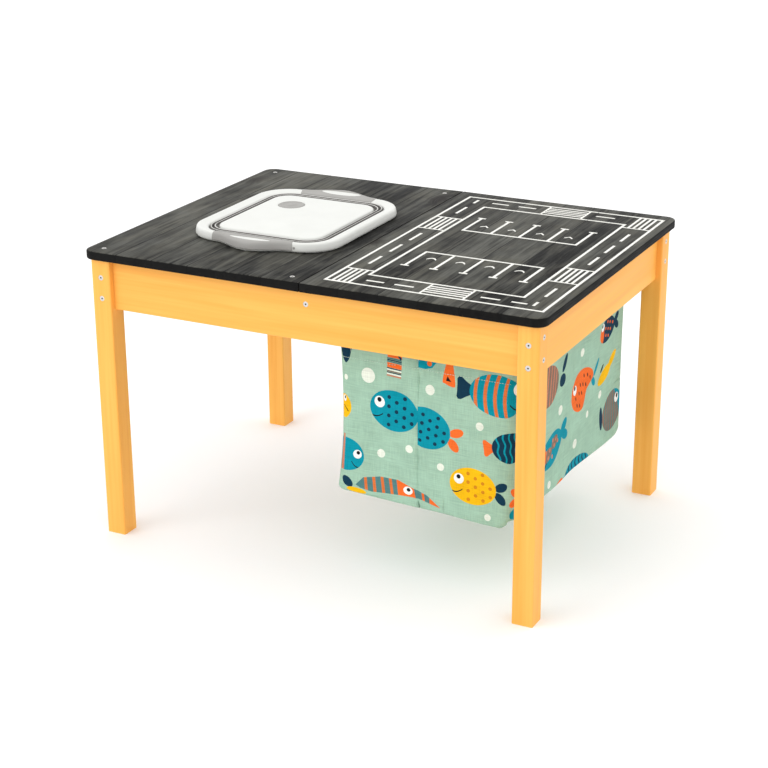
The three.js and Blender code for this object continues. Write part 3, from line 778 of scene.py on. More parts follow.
def grip(end, way):
    """Soft grip over one handle, with a window that shows the rim."""
    ys, zs, shares = grip_path(60)
    sides = [(grip_end(y), s * GRIP_SCALE) for y, s in zip(ys, shares)]
    far, near = sides[-1][0], sides[0][0]
    outline = sides + [(x, GRIP_SCALE) for x in np.linspace(far, -far, 30)[1:-1]]
    outline += [(-x, s) for x, s in sides[::-1]] + [(x, 0.0) for x in np.linspace(-near, near, 30)[1:-1]]
    window = []
    for x, y in circle(0, 0, 1, 48):
        ys, zs, shares = grip_path(x * WINDOW_HALF_X)
        share = float(np.interp(WINDOW_Y + y * WINDOW_HALF_Y, ys, shares))
        window.append((x * WINDOW_HALF_X, share * GRIP_SCALE))
    extra = []
    for ring, sign in ((outline, 1), (window, -1)):
        for d in (0.5, 1.1, GRIP_EDGE):
            extra += inset(ring, sign * d)
    extra += [(x, s) for x in np.arange(-70, 71, 5) for s in np.arange(4, GRIP_SCALE - 3, 3)]
    points, faces, _ = triangles(outline, [window], (), extra)
    upper, lower = [], []
    for x, s in points:
        near = min(distance_to(ring, np.array((x, s))) for ring in (outline, window))
        rise = GRIP_PROUD * sqrt(max(0.0, 1 - (1 - min(near / GRIP_EDGE, 1)) ** 2)) - 0.15
        ys, zs, shares = grip_path(x)
        share = s / GRIP_SCALE
        three = (share, min(share + GRIP_STEP, 1), max(share - GRIP_STEP, 0))
        (y, y1, y0), (z, z1, z0) = (np.interp(three, shares, v) for v in (ys, zs))
        run = hypot(y1 - y0, z1 - z0)
        for out, d in ((upper, rise), (lower, -0.8)):
            out.append((BASIN_X + x, BASIN_Y + way * (y - (z1 - z0) / run * d), z + (y1 - y0) / run * d))
    n = len(points)
    parts = Parts()
    sides = [(b, a, a + n, b + n) for a, b in rim_of(faces)]
    parts.put(upper + lower, faces + [tuple(i + n for i in f[::-1]) for f in faces] + sides)
    look(f"basin_grip_{end}", parts, [grey_rubber], "grey_rubber", 60)


grip("front", -1)
grip("back", 1)

# Small round plug in the rim's wall, to the right of the front grip.
PEG_X, PEG_Z, PEG_R = BASIN_X + 78, TOP_Z + 8.6, 2.0
wall_y = BASIN_Y - RIM_HALF_Y - handle_bump(PEG_X - BASIN_X)
parts = Parts()
rings = []
for size, y in ((1.0, 0.9), (1.0, -0.15), (0.8, -0.35)):
    rings.append([(x, wall_y + y, z) for x, z in circle(PEG_X, PEG_Z, PEG_R * size, 24)])
parts.loft(rings, caps=(True, True))
piece("basin_rim_peg", "basin", parts, [grey_rubber], "grey_rubber", 50)

RIDGE_RISE = 1.6


def band(node, wall):
    """Loop of soft rubber: a rounded ridge in pale rubber as painted highlight, dark rubber in the creases
    beside it as painted shade, and grey flanks.
    """
    low, high = box(node)
    top = high.z + RIDGE_RISE
    hx, hy = (high.x - low.x) / 2, (high.y - low.y) / 2
    radius = WELL_RADIUS - (WELL_HALF_X - hx)
    crown = [(d, top - z) for d, z in ((0.36, 0.35), (0.42, 0.08), (0.5, 0), (0.58, 0.08), (0.64, 0.35))]
    outer_crease = [(0.0, top - 3.4), (0.06, top - 2.2), (0.36, top - 0.35)]
    inner_crease = [(1 - d, z) for d, z in outer_crease[::-1]]
    side = (top - 3.4, top - 12, low.z)
    flanks = [(1.0, z) for z in side] + [(0.0, z) for z in side[::-1]]
    parts = Parts()
    # The crown is painted highlight in pale rubber, the creases are painted shade in dark rubber, and the
    # flanks are grey rubber.
    for section, mark in ((crown, 0), (outer_crease, 1), (inner_crease, 1), (flanks, 2)):
        rings = []
        for d, z in section:
            x, y = d * wall[0], d * wall[1]
            rings.append(at(rounded(BASIN_X, BASIN_Y, hx - x, hy - y, radius - x, 14, 30), z))
        parts.loft(rings, mark=mark)
    look(node, parts, [rubber_painted_highlight, rubber_painted_shade, grey_rubber], "grey_rubber", 60)


band("basin_band_upper", (4.8, 6.0))
band("basin_band_lower", (4.8, 8.0))

base_low, base_high = box("basin_base")
plug_low, plug_high = box("drain_plug")
PLUG_X, PLUG_Y = (plug_low.x + plug_high.x) / 2, (plug_low.y + plug_high.y) / 2
PLUG_RADIUS = (plug_high.x - plug_low.x) / 2
BASE_RADIUS, BASE_EDGE, RECESS = 30, 4.0, 3.0


section = [(1.2, base_low.z), (0.0, base_low.z + 1.2)]
for t in np.linspace(0, pi / 2, 7):
    section.append((BASE_EDGE * (1 - cos(t)), base_high.z - BASE_EDGE * (1 - sin(t))))
hx, hy = (base_high.x - base_low.x) / 2, (base_high.y - base_low.y) / 2
rings = [at(rounded(BASIN_X, BASIN_Y, hx - d, hy - d, BASE_RADIUS - d, 14, 30), z) for d, z in section]
hole = circle(PLUG_X, PLUG_Y, PLUG_RADIUS + 1.0, 64)
lip = circle(PLUG_X, PLUG_Y, PLUG_RADIUS + 0.5, 64)
parts = Parts()
parts.loft(rings, caps=(True, False))
points, faces, _ = triangles([p[:2] for p in rings[-1]], [hole])
parts.put(at(points, base_high.z), faces)
rings = [at(hole, base_high.z), at(lip, base_high.z - 0.6), at(lip, base_high.z - RECESS)]
parts.loft(rings, caps=(False, True))
look("basin_base", parts, [white_plastic], "white_plastic", 50)

section = [(9.0, plug_low.z), (10.0, plug_low.z + 1), (10.0, plug_high.z - 2.6)]
cap_edge = ((1, 2.6), (0, 1.6), (0.3, 0.6), (1.2, 0), (3.2, 0), (3.8, 0.5))
section += [(PLUG_RADIUS - r, plug_high.z - z) for r, z in cap_edge]
section += [(8.0, plug_high.z - 0.5), (7.4, plug_high.z - 0.1), (3.0, plug_high.z - 0.1)]
parts = Parts()
parts.loft([at(circle(PLUG_X, PLUG_Y, r, 56), z) for r, z in section], caps=(True, True))
look("drain_plug", parts, [grey_rubber], "grey_rubber", 40)

# ---- toy bag

INKS = {
    "mint": rgb(158, 192, 170), "teal": rgb(0, 143, 162), "navy": rgb(14, 54, 76),
    "orange": rgb(238, 108, 44), "yellow": rgb(240, 184, 16),
    "cream": rgb(228, 234, 220), "white": rgb(240, 242, 238),
    "black": rgb(22, 24, 28), "brown": rgb(134, 112, 98), "salmon": rgb(198, 128, 100),
    "ochre": rgb(206, 132, 28), "slate": rgb(82, 126, 126), "rust": rgb(216, 114, 60),
}
INK_NUMBER = {name: i for i, name in enumerate(INKS)}
bag_low, bag_high = box("storage_bag")
BAG_X0, BAG_X1, BAG_Y0, BAG_Y1 = bag_low.x, bag_high.x, -240.0, 240.0
FRONT_WIDTH, SIDE_WIDTH = BAG_X1 - BAG_X0, BAG_Y1 - BAG_Y0
RIGHT_AT, BACK_AT, LEFT_AT = FRONT_WIDTH, FRONT_WIDTH + SIDE_WIDTH, 2 * FRONT_WIDTH + SIDE_WIDTH
ROUND_TRIP = 2 * (FRONT_WIDTH + SIDE_WIDTH)
BAG_TOP, STITCH_Z, BAG_CORNER, FOLD = 428.0, 369.0, 16.0, 9.0
SEAM_AT = 139.0
ROD_Z = sum(v.z for v in box("bag_rod_front")) / 2
SLEEVE_R = 7.6
SLEEVE_FROM, SLEEVE_TO = 24.0, 279.0
WAIST_Z, TAIL_GAP = 290.0, 1.9
FLARE_REACH, LEAN_FROM, LEAN_OVER = 130, 384, 46
WALL_HEIGHT, CLOTH_THICKNESS = 296, 0.9
TAB = (ROD_Z - BAG_TOP) + pi * SLEEVE_R + (ROD_Z - STITCH_Z)

# Height of the bag's lower edge round its four sides.
EDGE_AT = [0, 150, 276, 303, 335, 560, 755, 783, 815, 930, 1060, 1086, 1115, 1330, 1545, 1566]
EDGE_Z = [139, 133, 127, 144, 136, 130, 118, 128, 120, 128, 124, 138, 128, 132, 134, 139]


def clamp(v):
    return max(0.0, min(1.0, v))


def eased(v):
    """Smooth step from 0 to 1."""
    v = clamp(v)
    return v * v * (3 - 2 * v)


def lower_edge(s):
    k = max([0] + [i for i, a in enumerate(EDGE_AT) if a <= s + 1e-6])
    if k == len(EDGE_AT) - 1:
        return EDGE_Z[-1]
    t = (s - EDGE_AT[k]) / (EDGE_AT[k + 1] - EDGE_AT[k])
    return EDGE_Z[k] + (EDGE_Z[k + 1] - EDGE_Z[k]) * eased(t)


CORNERS = [0, RIGHT_AT, BACK_AT, LEFT_AT, ROUND_TRIP]
CORNER_XY = [(BAG_X0, BAG_Y0), (BAG_X1, BAG_Y0), (BAG_X1, BAG_Y1), (BAG_X0, BAG_Y1), (BAG_X0, BAG_Y0)]
WALKS = [(1, 0), (0, 1), (-1, 0), (0, -1)]


def wall_of(s):
    """Which of the four walls s lies on: front, right, back or left."""
    return max([0] + [i for i in range(1, 4) if CORNERS[i] <= s + 1e-6])


def round_the_bag(s):
    """Point and outward direction on the bag's plan at s along its walls."""
    s = min(max(s, 0.0), ROUND_TRIP)
    k = wall_of(s)
    walk = Vector(WALKS[k])
    out = Vector((walk.y, -walk.x))
    start = Vector(CORNER_XY[k])
    run, width = s - CORNERS[k], CORNERS[k + 1] - CORNERS[k]
    for edge, sign in ((run, -1), (width - run, 1)):
        if edge < BAG_CORNER:
            turn = sign * (1 - edge / BAG_CORNER) * pi / 4
            centre = start + walk * (BAG_CORNER if sign < 0 else width - BAG_CORNER) - out * BAG_CORNER
            way = Matrix.Rotation(turn, 2) @ out
            return centre + way * BAG_CORNER, way
    return start + walk * run, out


def bulge(s, z):
    """How far the cloth stands out from its flat wall."""
    side = wall_of(s)
    across = (s - CORNERS[side]) / (CORNERS[side + 1] - CORNERS[side])
    low = lower_edge(s)
    up = clamp((z - low) / (STITCH_Z - low))
    fade = sin(pi * across) ** 0.6 if 0 < across < 1 else 0.0
    slow = noise.noise(Vector((s / 85, z / 120, side * 3.1))) * 4.0
    folds = noise.noise(Vector((s / 26 + 9, z / 150, 7.7 + side))) * 1.5 * (0.3 + up)
    below = max(0.0, STITCH_Z - z)
    gather = sin(s / 2.9 + 3 * noise.noise(Vector((s / 40, side, 0)))) * 0.7 * exp(-below / 22)
    push = fade * (slow + folds + gather * (1 if side in (0, 2) else 0.5))
    for seam in (SEAM_AT, BACK_AT + FRONT_WIDTH - SEAM_AT):
        d = abs(s - seam)
        push -= 1.3 * exp(-((d / 2.2) ** 2)) * (1 if z < 392 else 0.4)
        push += 0.7 * exp(-d / 14) * sin(z / 5.2 + 2 * noise.noise(Vector((z / 30, seam, 0))))
    push -= fade * (2.5 if side in (1, 3) else 0.8) * sin(pi * up)
    return push


def waist(t):
    """How far the bag's left side is drawn in at height t: it splays out above and below the middle."""
    if t > WAIST_Z:
        return 3.0 - 6.0 * min(1.0, (t - WAIST_Z) / 138) ** 2
    return 3.0 - 11.0 * ((WAIST_Z - t) / 150) ** 2


def hang(s, t):
    """Place of the cloth's point s along and t up; beyond the top t goes round the rod and down inside."""
    xy, out = round_the_bag(s)
    side = wall_of(s)
    low = lower_edge(s) + FOLD
    flare = eased(1 - (xy.x - BAG_X0) / FLARE_REACH) * waist(t)
    lean = 0.0
    if side in (0, 2):
        run = s - CORNERS[side]
        inward = eased((min(run, FRONT_WIDTH - run) - 8) / 16)
        lean = inward * (SLEEVE_R - 1) * clamp((t - LEAN_FROM) / LEAN_OVER)
    if t < low:
        turn = min(pi / 2, (low - t) / FOLD)
        xy = xy - out * FOLD * (1 - cos(turn)) + out * bulge(s, low) * cos(turn)
        return (xy.x + flare, xy.y, low - FOLD * sin(turn))
    if t <= BAG_TOP + 1e-6:
        xy = xy + out * (bulge(s, t) + lean)
        return (xy.x + flare, xy.y, t)
    over = t - BAG_TOP
    rod = BAG_Y1 - 1.0
    rise = ROD_Z - BAG_TOP
    if over < rise:
        y, z = rod + SLEEVE_R - 0.6 * (1 - over / rise), t
    elif over < rise + pi * SLEEVE_R:
        turn = (over - rise) / SLEEVE_R
        y, z = rod + SLEEVE_R * cos(turn), ROD_Z + SLEEVE_R * sin(turn)
    else:
        z = ROD_Z - (over - rise - pi * SLEEVE_R)
        share = (ROD_Z - z) / (ROD_Z - STITCH_Z)
        lean *= clamp((z - LEAN_FROM) / LEAN_OVER)
        wall_y = abs(xy.y + out.y * (bulge(s, z) + lean))
        y = rod - SLEEVE_R + (wall_y - TAIL_GAP - rod + SLEEVE_R) * share ** 1.5
        y = min(y, wall_y - TAIL_GAP)
    return (xy.x, copysign(y, out.y if abs(out.y) > 0.5 else xy.y), z)


class Print:
    """Flat printed shapes in painter's order; a shape may be kept inside others."""

    def __init__(self):
        self.rings, self.inks, self.clips, self.start = [], [], [], 0

    def shape(self, ring, ink, *clip):
        """Adds one shape, its x counted from the print's start, and gives back its number."""
        self.rings.append([(self.start + x, z) for x, z in ring])
        self.inks.append(ink)
        self.clips.append(clip)
        return len(self.rings) - 1

    def ovals(self, ink, *each, clip=()):
        for numbers in each:
            self.shape(oval(*numbers), ink, *clip)

    def dots(self, *each):
        for x, z, r in each:
            self.shape(oval(x, z, r, r * 1.04, 0, 22), "cream")

    def ink_of(self, found):
        best = [i for i in found if self.inks[i] and set(self.clips[i]) <= set(found)]
        return INK_NUMBER[self.inks[max(best)]] if best else INK_NUMBER["mint"]


def oval(cx, cz, rx, rz, tilt, n):
    """Ring of n points, from its centre, half sizes and tilt in degrees."""
    a = radians(tilt)
    out = []
    for k in range(n):
        x, z = rx * cos(2 * pi * k / n), rz * sin(2 * pi * k / n)
        out.append((cx + x * cos(a) - z * sin(a), cz + x * sin(a) + z * cos(a)))
    return out


# Fish: inks of the body and tail, kind of marks and their ink; "-" stands for none.
SPOTTED, SUNNY, CORAL = "teal orange dots navy", "yellow navy dots ochre", "orange teal dots navy"
WAVY, RINGED, BARRED = "navy orange waves teal", "teal navy stripes orange", "brown navy stripes orange"
FAN_TAIL = [(0.86, 0.16), (1.1, 0.36), (1.28, 0.54), (1.38, 0.54), (1.43, 0.42), (1.42, 0.18)]
MARK_FROM, MARK_PITCH, DOT_PITCH, DOT_RADIUS = 0.85, 1.7, 0.33, 0.078


def fish(p, x, z, rx, rz, kind, face, tilt=0, clip=(), fan=False, count=5, look_at=(0.62, 0.24)):
    """Printed fish: body, tail, marks, eye and mouth, all from its centre and half sizes."""
    ink, tail, marks, mark_ink = kind.split()

    def spot(u, v):
        a = radians(tilt)
        return x + u * cos(a) - v * sin(a), z + u * sin(a) + v * cos(a)

    def disc(u, v, r, n, colour):
        p.shape(oval(*spot(u, v), r, r, 0, n), colour, *clip, body)

    end = -face or 1
    if fan:
        side = FAN_TAIL + [(u, -v) for u, v in FAN_TAIL[::-1]]
        p.shape([spot(end * rx * u, rz * v) for u, v in side], tail, *clip)
    elif tail != "-":
        for v, turn in ((0.34, 32), (-0.3, -42)):
            lobe = oval(*spot(end * rx * 1.2, rz * v), 0.3 * rx, 0.18 * rx, end * turn + tilt, 26)
            p.shape(lobe, tail, *clip)
    body = p.shape(oval(x, z, rx, rz, tilt, 40), ink, *clip)
    if marks == "dots":
        step = DOT_PITCH * rx
        for i in range(-4, 5):
            for j in range(-4, 5):
                u, v = i * step - 0.12 * step * j + 0.12 * rx, j * step * 1.08 - 0.4 * step * i
                if (u / rx) ** 2 + (v / rz) ** 2 < 0.74 and u * face <= 0.32 * rx:
                    disc(u, v, DOT_RADIUS * rx, 10, mark_ink)
    elif marks != "-":
        waves = marks == "waves"
        half = (0.24 if waves else 0.3) * rx / count
        path = []
        for v in np.linspace(-rz * 1.05, rz * 1.05, 17 if waves else 9):
            bend = 0.05 * rx * sin(v / rz * 7) if waves else -0.12 * rx * (1 - (v / rz) ** 2) * face
            path.append((bend, v))
        for k in range(count):
            u = rx * (MARK_PITCH * (k + 0.5) / count - MARK_FROM)
            if waves or u * face <= 0.62 * rx:
                left = [spot(u - half + bend, v) for bend, v in path]
                p.shape(left + [spot(u + half + bend, v) for bend, v in path[::-1]], mark_ink, *clip, body)
    if face:
        r = 0.22 * min(rx, rz * 1.3)
        disc(face * look_at[0] * rx, look_at[1] * rz, r, 20, "white")
        disc(face * (look_at[0] + 0.02) * rx, (look_at[1] + 0.1) * rz, 0.42 * r, 14, "black")
        w = 0.026 * rx
        path = []
        for k in range(7):
            t = k / 6
            path.append((face * (0.92 - 0.5 * t) * rx, (-0.5 + 0.2 * t - 0.12 * sin(pi * t)) * rz))
        lips = [spot(u, v - w) for u, v in path] + [spot(u, v + w) for u, v in path[::-1]]
        p.shape(lips, "black", *clip, body)
    return body


LONG_BODY = [(-75, -4), (-63, 11), (-36, 17), (-5, 17), (19, 8), (45, 0), (69, -17), (38, -10), (19, -8)]
LONG_BODY += [(-9, -9), (-48, -11), (-67, -8)]


def long_fish(p, x, z, scale=1.0):
    """Long fish with slanted stripes, an orange head and a leaf tail."""
    def put(points, ink, *clip):
        return p.shape([(x + u * scale, z + v * scale) for u, v in points], ink, *clip)

    put(oval(-90, -1, 12, 7, -40, 18), "navy")
    put(oval(-73, -14, 17, 5, -4, 18), "yellow")
    body = put(LONG_BODY, "slate")
    for u in (-61, -47, -33, -19):
        put([(u - 2.4, 20), (u + 2.4, 20), (u + 8, -15), (u + 3.2, -15)], "rust", body)
    put([(-8, 20), (20, 20), (26, -14), (-4, -14)], "orange", body)
    put([(34, 12), (38, 12), (42, -16), (38, -16)], "orange", body)
    put([(48, 12), (75, 12), (75, -22), (50, -16)], "orange", body)
    put(oval(12, 2, 8, 7, 0, 18), "white", body)
    put(oval(12 + 1 / scale, 2 + 1.5 / scale, 3.3, 3.3, 0, 12), "black", body)


def smooth_ring(points, steps=5):
    """Closed curve through the given points."""
    n = len(points)
    out = []
    for i in range(n):
        a, b, c, d = (np.array(points[(i + k) % n], float) for k in (-1, 0, 1, 2))
        for k in range(steps):
            t = k / steps
            curve = (2 * a - 5 * b + 4 * c - d) + (3 * b - a - 3 * c + d) * t
            out.append(tuple(b + ((c - a) * t + curve * t * t) / 2))
    return out


# The walls' print; the bag's front is sewn from two pieces, and a shape may belong to one of them.
P = Print()
left_piece = P.shape([(-1, 100), (SEAM_AT, 100), (SEAM_AT, 600), (-1, 600)], None)
right_piece = P.shape([(SEAM_AT, 100), (400, 100), (400, 600), (SEAM_AT, 600)], None)
# Front, x from its left edge.
fish(P, 98, 293, 43, 33.5, "teal - dots navy", -1, -8, (left_piece,))
fish(P, 154, 274.5, 41, 34, SPOTTED, 0, -14, (right_piece,))
fish(P, 274, 347, 48, 34, "teal navy stripes rust", 1, -3, fan=True, look_at=(0.74, 0.42))
fish(P, 297, 265, 33, 25, WAVY, 1, 8, fan=True)
fish(P, 233, 191, 39.5, 30, SUNNY, -1, -4)
fish(P, 12, 206, 34, 28, "teal - - -", 1, -12)
P.shape([(2.5, 178), (11, 178), (9, 240), (4, 240)], "salmon")
fish(P, 6, 287, 15, 20, "yellow - - -", 0)
P.ovals("white", (7, 300, 4, 5.5, 0, 16))
P.ovals("black", (8, 301.5, 1.8, 2.6, 0, 12))
P.shape([(4, 289), (16, 279), (15, 277.5), (4, 287)], "black")
long_fish(P, 110, 160)
P.shape(smooth_ring([(0, 397), (26, 397), (24, 380), (19, 365), (13, 360), (7, 366), (2, 380)]), "navy")
# A striped tail, from the top down: height of each band's upper edge, its thickness and its ink.
for top, thick, ink in (
    (394, 13.0, "orange"), (380.4, 2.2, "slate"), (377.8, 2.0, "navy"), (375.4, 2.4, "slate"),
    (372.4, 8.0, "orange"), (364.0, 1.6, "navy"), (362.0, 2.2, "cream"), (359.4, 2.0, "brown"),
    (357.0, 1.6, "navy"), (355.0, 2.2, "cream"), (352.4, 2.4, "salmon"),
):
    left = 86 + (top - 350) * 0.05
    P.shape([(left, top), (left + 24, top - 2.5), (left + 24, top - thick - 2.5), (left, top - thick)], ink)
P.shape([(102, 392), (112, 380), (109, 377), (104, 384)], "navy")
P.shape([(136, 395), (172, 393), (170, 383), (163, 374), (152, 370.5), (136, 371)], "teal", right_piece)
P.ovals("orange", (158, 380, 4.2, 4.4, 0, 14))
P.shape(smooth_ring([(190, 394), (197, 394), (203, 356), (199, 349), (186, 353), (181, 358)]), "orange")
P.shape([(190, 366), (196, 357), (187, 358)], "black")
P.ovals("teal", (311, 154, 14, 11, 10, 20))
P.dots((53, 345, 12), (12, 336, 4.5), (160, 338, 8), (244, 293, 6.5), (125, 234, 6.5))
P.dots((75, 217, 7), (178, 213, 6), (259, 144, 5.5))
# Right side, x from the front corner.
P.start = RIGHT_AT
fish(P, 130, 321, 43, 35, "brown - stripes salmon", 0, -4, count=7)
P.ovals("navy", (199, 340, 16, 6.5, 58, 20), (192, 313, 12, 11, 0, 20))
P.ovals("teal", (346, 284, 17, 5, 52, 18), (336, 262, 12, 6, -46, 18))
bean = [(-49, 0), (-44, 16), (-24, 30), (2, 34), (27, 29), (46, 18), (50, 6), (36, -2), (22, -8), (13, -24)]
bean += [(2, -35), (-18, -34), (-38, -24), (-47, -12)]
seeds = [(10, 20), (24, 17), (36, 9), (-6, 9), (6, 6), (18, 2), (-12, -4), (0, -7), (-22, -22)]
seeds += [(-10, -26), (-28, -8)]
body = P.shape(smooth_ring([(284 + u, 266 + v) for u, v in bean], 4), "orange")
P.ovals("black", *[(284 + u, 266 + v, 1.9, 4.0, 20, 10) for u, v in seeds], clip=(body,))
P.ovals("white", (251, 274, 8.5, 8.5, 0, 20))
P.ovals("black", (250, 278, 4, 4, 0, 14))
P.ovals("yellow", (387, 257, 30, 12, 18, 24), (421, 274, 22, 8, 30, 24))
P.ovals("black", (374, 272, 9, 3, 42, 16))
body = fish(P, 391, 336, 37, 21, "navy navy dots orange", 0, 4)
P.shape([(340, 300), (366, 306), (376, 330), (370, 364), (340, 364)], "orange", body)
P.ovals("white", (368, 346, 8, 7, 0, 18), clip=(body,))
P.ovals("black", (366, 349, 3.6, 3.6, 0, 12), clip=(body,))
body = fish(P, 430, 178, 43, 36, "brown navy stripes slate", 0, 8, count=7)
P.ovals("navy", (381, 178, 7, 22, 6, 20))
P.shape([(432, 224), (490, 224), (490, 140), (470, 146), (456, 186)], "teal", body)
P.ovals("white", (451, 194, 9, 9, 0, 18))
P.ovals("black", (453, 197, 4, 4.4, 0, 12))
body = fish(P, 154, 207, 48, 26, "teal teal - -", -1, 14)
P.ovals("brown", (168, 216, 15, 9, 20, 18), (138, 203, 18, 10, 20, 18), clip=(body,))
for u, v in ((20, 12), (6, 14), (12, 4), (-8, 2), (-22, 2), (-14, -9), (-28, -8), (2, -12), (28, 6)):
    P.ovals("salmon", (154 + u, 207 + v, 3.2, 3.6, 0, 12), clip=(body,))
P.ovals("orange", (114, 205, 17, 22, 0, 22))
P.ovals("white", (116, 214, 7, 7, 0, 18))
P.ovals("black", (114, 215, 3, 3, 0, 12))
fish(P, 266, 126, 58, 26, "teal - waves navy", 0, count=7)
P.ovals("orange", (188, 134, 17, 7, 10, 20))
P.dots((282, 330, 7), (190, 262, 8), (259, 178, 8), (311, 212, 6), (371, 226, 7), (143, 151, 6.5))
# Right side near the front corner, hidden by the leg; the back and left walls repeat the cloth's fish.
fish(P, 58, 292, 34, 26, SUNNY, -1, 6)
fish(P, 44, 176, 34, 25, WAVY, 1, -8)
P.dots((25, 340, 7), (30, 236, 6), (90, 236, 7))
P.start = BACK_AT
fish(P, 84, 300, 42, 33, SPOTTED, -1, -6)
fish(P, 218, 268, 40, 31, SUNNY, 1, 8)
fish(P, 96, 196, 40, 30, BARRED, 1, 4, count=8)
long_fish(P, 214, 178, 0.9)
fish(P, 222, 346, 36, 26, CORAL, -1)
P.dots((36, 352, 9), (150, 330, 7), (160, 240, 7), (32, 238, 6), (270, 214, 6))
P.start = LEFT_AT
fish(P, 76, 296, 43, 33, RINGED, 1, 5)
fish(P, 214, 330, 38, 28, SUNNY, -1, -6)
fish(P, 196, 226, 44, 32, SPOTTED, -1, 6)
fish(P, 350, 300, 42, 34, BARRED, 1, -5, count=9)
fish(P, 90, 196, 34, 24, WAVY, 1, 10)
long_fish(P, 330, 180)
fish(P, 420, 214, 36, 27, CORAL, 1, -4)
P.dots((142, 340, 8), (146, 268, 6), (280, 276, 8), (270, 182, 7), (428, 352, 7), (30, 236, 7), (146, 170, 6))

COLUMN_PITCH, COLUMN_GAP = 5.2, 0.6
SLEEVE_ENDS = [start + s for start in (0, BACK_AT) for s in (SLEEVE_FROM, SLEEVE_TO)]
near_corners = (-13, -10, -7, -3.5, 3.5, 7, 10, 13)
columns = [c + d for c in CORNERS for d in near_corners if 0 < c + d < ROUND_TRIP] + SLEEVE_ENDS
for a, b in zip(CORNERS, CORNERS[1:]):
    columns += list(np.linspace(a, b, 2 + int((b - a) / COLUMN_PITCH)))
columns = sorted(set(np.round(columns, 3)))
columns = [c for i, c in enumerate(columns) if i == 0 or c - columns[i - 1] > COLUMN_GAP]
for c in SLEEVE_ENDS:
    columns[min(range(len(columns)), key=lambda i: abs(columns[i] - c))] = c


def in_sleeve(s):
    return SLEEVE_ENDS[0] < s < SLEEVE_ENDS[1] or SLEEVE_ENDS[2] < s < SLEEVE_ENDS[3]


ARC = FOLD * pi / 2
low_line = [(s, lower_edge(s) + FOLD - ARC) for s in columns]
top_line = []
for s in reversed(columns):
    step = [(s, BAG_TOP), (s, BAG_TOP + TAB)]
    if s in SLEEVE_ENDS:
        top_line += step if SLEEVE_ENDS.index(s) % 2 else step[::-1]
    else:
        top_line.append(step[in_sleeve(s)])
heights = np.arange(150, BAG_TOP - 3, 6)
outline = low_line + [(ROUND_TRIP, t) for t in heights] + top_line + [(0.0, t) for t in heights[::-1]]
grid = []
for s in columns[1:-1]:
    low = lower_edge(s) + FOLD
    grid += [(s, low - ARC * k / 4) for k in range(4)]
    grid += [(s + (2.0 if j % 2 else 0), t) for j, t in enumerate(np.arange(low + 5, BAG_TOP - 3, 5.6))]
    if in_sleeve(s):
        arc = [ROD_Z + SLEEVE_R * pi * k / 8 for k in range(9)]
        grid += [(s, t) for t in [BAG_TOP + 4, *arc, *np.arange(arc[-1] + 6, BAG_TOP + TAB - 3, 6)]]
points, faces, inside = triangles(outline, (), P.rings, grid)
parts = Parts()
parts.put([hang(s, t) for s, t in points], faces, [P.ink_of(found) for found in inside])
uvs = list(points)

# The floor's print, in the table's x and y.
F = Print()
fish(F, 120, -150, 43, 33, SPOTTED, -1, 20)
fish(F, 250, -40, 40, 30, SUNNY, 1, -15)
fish(F, 110, 50, 42, 32, BARRED, 1, 10, count=8)
long_fish(F, 200, 160)
F.dots((210, -200, 8), (90, -40, 7), (180, 20, 8), (260, 90, 7), (80, 190, 7), (290, -150, 6))
rim = np.array([hang(s, t) for s, t in low_line[:-1]])
xs, ys = np.arange(BAG_X0 + 16, BAG_X1 - 12, 12), np.arange(BAG_Y0 + 16, BAG_Y1 - 12, 12)
points, faces, inside = triangles(rim[:, :2].tolist(), (), F.rings, [(x, y) for x in xs for y in ys])


def sag(x, y):
    """Height of the bag's floor: the edge's height nearby, dropping a little towards the middle."""
    d = np.hypot(rim[:, 0] - x, rim[:, 1] - y)
    near = d.min()
    if near < 1e-3:
        return rim[d.argmin(), 2]
    weight = 1 / d ** 3
    drop = 4.0 * (1 - exp(-near / 45))
    wave = 1.4 * noise.noise(Vector((x / 50, y / 50, 4))) * min(1, near / 20)
    return (rim[:, 2] * weight).sum() / weight.sum() - drop + wave


floor_points = [(x, y, sag(x, y)) for x, y in points]
parts.put(floor_points, [f[::-1] for f in faces], [F.ink_of(found) for found in inside])
uvs += list(points)
printed = [cloth("cloth_" + name, ink) for name, ink in INKS.items()]
printed += [cloth("cloth_inside_" + name, ink, True) for name, ink in INKS.items()]
bag = look("storage_bag", parts, printed, "fish_cloth", 80, solid=False, uvs=uvs)
shell = bag.modifiers.new("cloth", "SOLIDIFY")
shell.thickness = CLOTH_THICKNESS * MM
shell.offset = -1
shell.material_offset = len(INKS)
shell.use_even_offset = False

# Stitching: short thread stitches along the sleeves' lower lines and the side walls' hems.
STITCH, STITCH_PITCH, STITCH_R = 3.0, 4.3, 0.42
sewing = Parts()


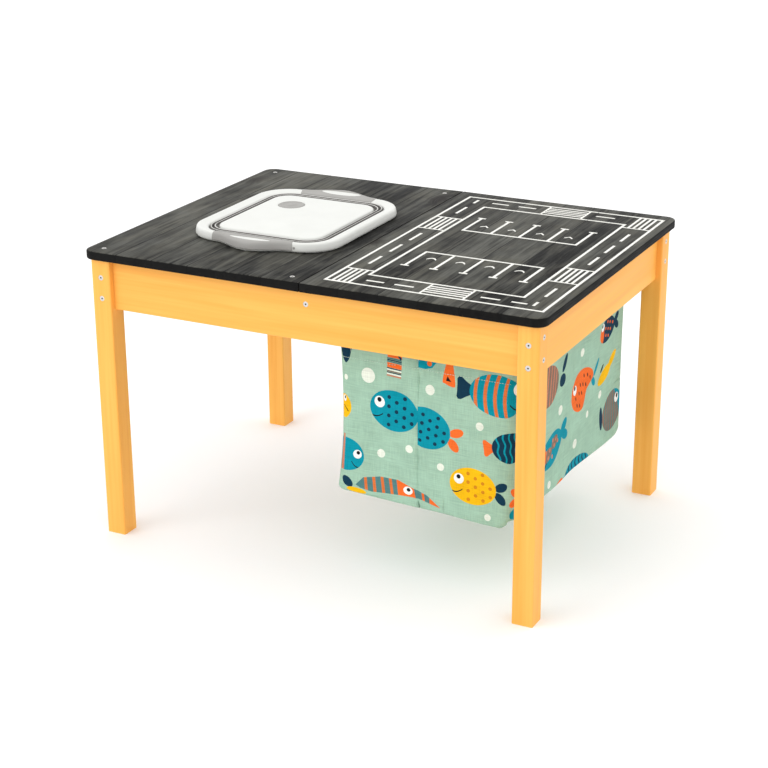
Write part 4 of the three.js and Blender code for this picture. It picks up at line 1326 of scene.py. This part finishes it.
def stitch_row(s0, s1, t):
    """Little rounded stitches that lie on the cloth at height t."""
    for s in np.arange(s0, s1 - STITCH, STITCH_PITCH):
        p, q = Vector(hang(s, t)), Vector(hang(s + STITCH, t))
        out = round_the_bag(s)[1].to_3d()
        side = (q - p).normalized().cross(out).normalized()
        rings = []
        for share, r, lift in ((0, 0.5, -0.2), (0.2, 1, 0.25), (0.8, 1, 0.25), (1, 0.5, -0.2)):
            c = p.lerp(q, share) + out * lift
            rings.append([tuple(c + side * x + out * y) for x, y in circle(0, 0, STITCH_R * r, 6)])
        sewing.loft(rings, caps=(True, True))


for start in (0, BACK_AT):
    stitch_row(start + 4, start + FRONT_WIDTH - 4, STITCH_Z)
for start in (RIGHT_AT, LEFT_AT):
    stitch_row(start + 8, start + SIDE_WIDTH - 8, BAG_TOP - 14)
stitching = piece("bag_stitching", "frame", sewing, [thread], "fish_cloth", 60)

# ---- stage


def emitter(name, at_point, towards_point, size, power):
    light = bpy.data.objects.new(name, bpy.data.lights.new(name, "AREA"))
    light.data.shape = "RECTANGLE"
    light.data.size, light.data.size_y = size
    light.data.energy = power
    light.location = at_point
    light.rotation_euler = (Vector(towards_point) - Vector(at_point)).to_track_quat("-Z", "Y").to_euler()
    scene.collection.objects.link(light)


floor_mesh = bpy.data.meshes.new("floor")
floor_mesh.from_pydata([(-40, -40, 0), (40, -40, 0), (40, 40, 0), (-40, 40, 0)], [], [(0, 1, 2, 3)])
floor_look = Shader("floor", Roughness=0.75, Base_Color=(0.96, 0.955, 0.955, 1), Specular_IOR_Level=0.1,
                    Emission_Color=WHITE, Emission_Strength=0.06)
floor_mesh.materials.append(floor_look.material)
floor = bpy.data.objects.new("floor", floor_mesh)
scene.collection.objects.link(floor)
floor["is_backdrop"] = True

world = bpy.data.worlds.new("studio")
world.use_nodes = True
world.node_tree.nodes["Background"].inputs["Color"].default_value = (1, 1, 1, 1)
world.node_tree.nodes["Background"].inputs["Strength"].default_value = 1.15
scene.world = world
emitter("key", (-1.9, -3.0, 2.6), (0, 0, 0.3), (2.4, 1.8), 30)
emitter("overhead", (0.3, 0.2, 3.4), (0, 0, 0.4), (3.0, 3.0), 6)

low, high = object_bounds()
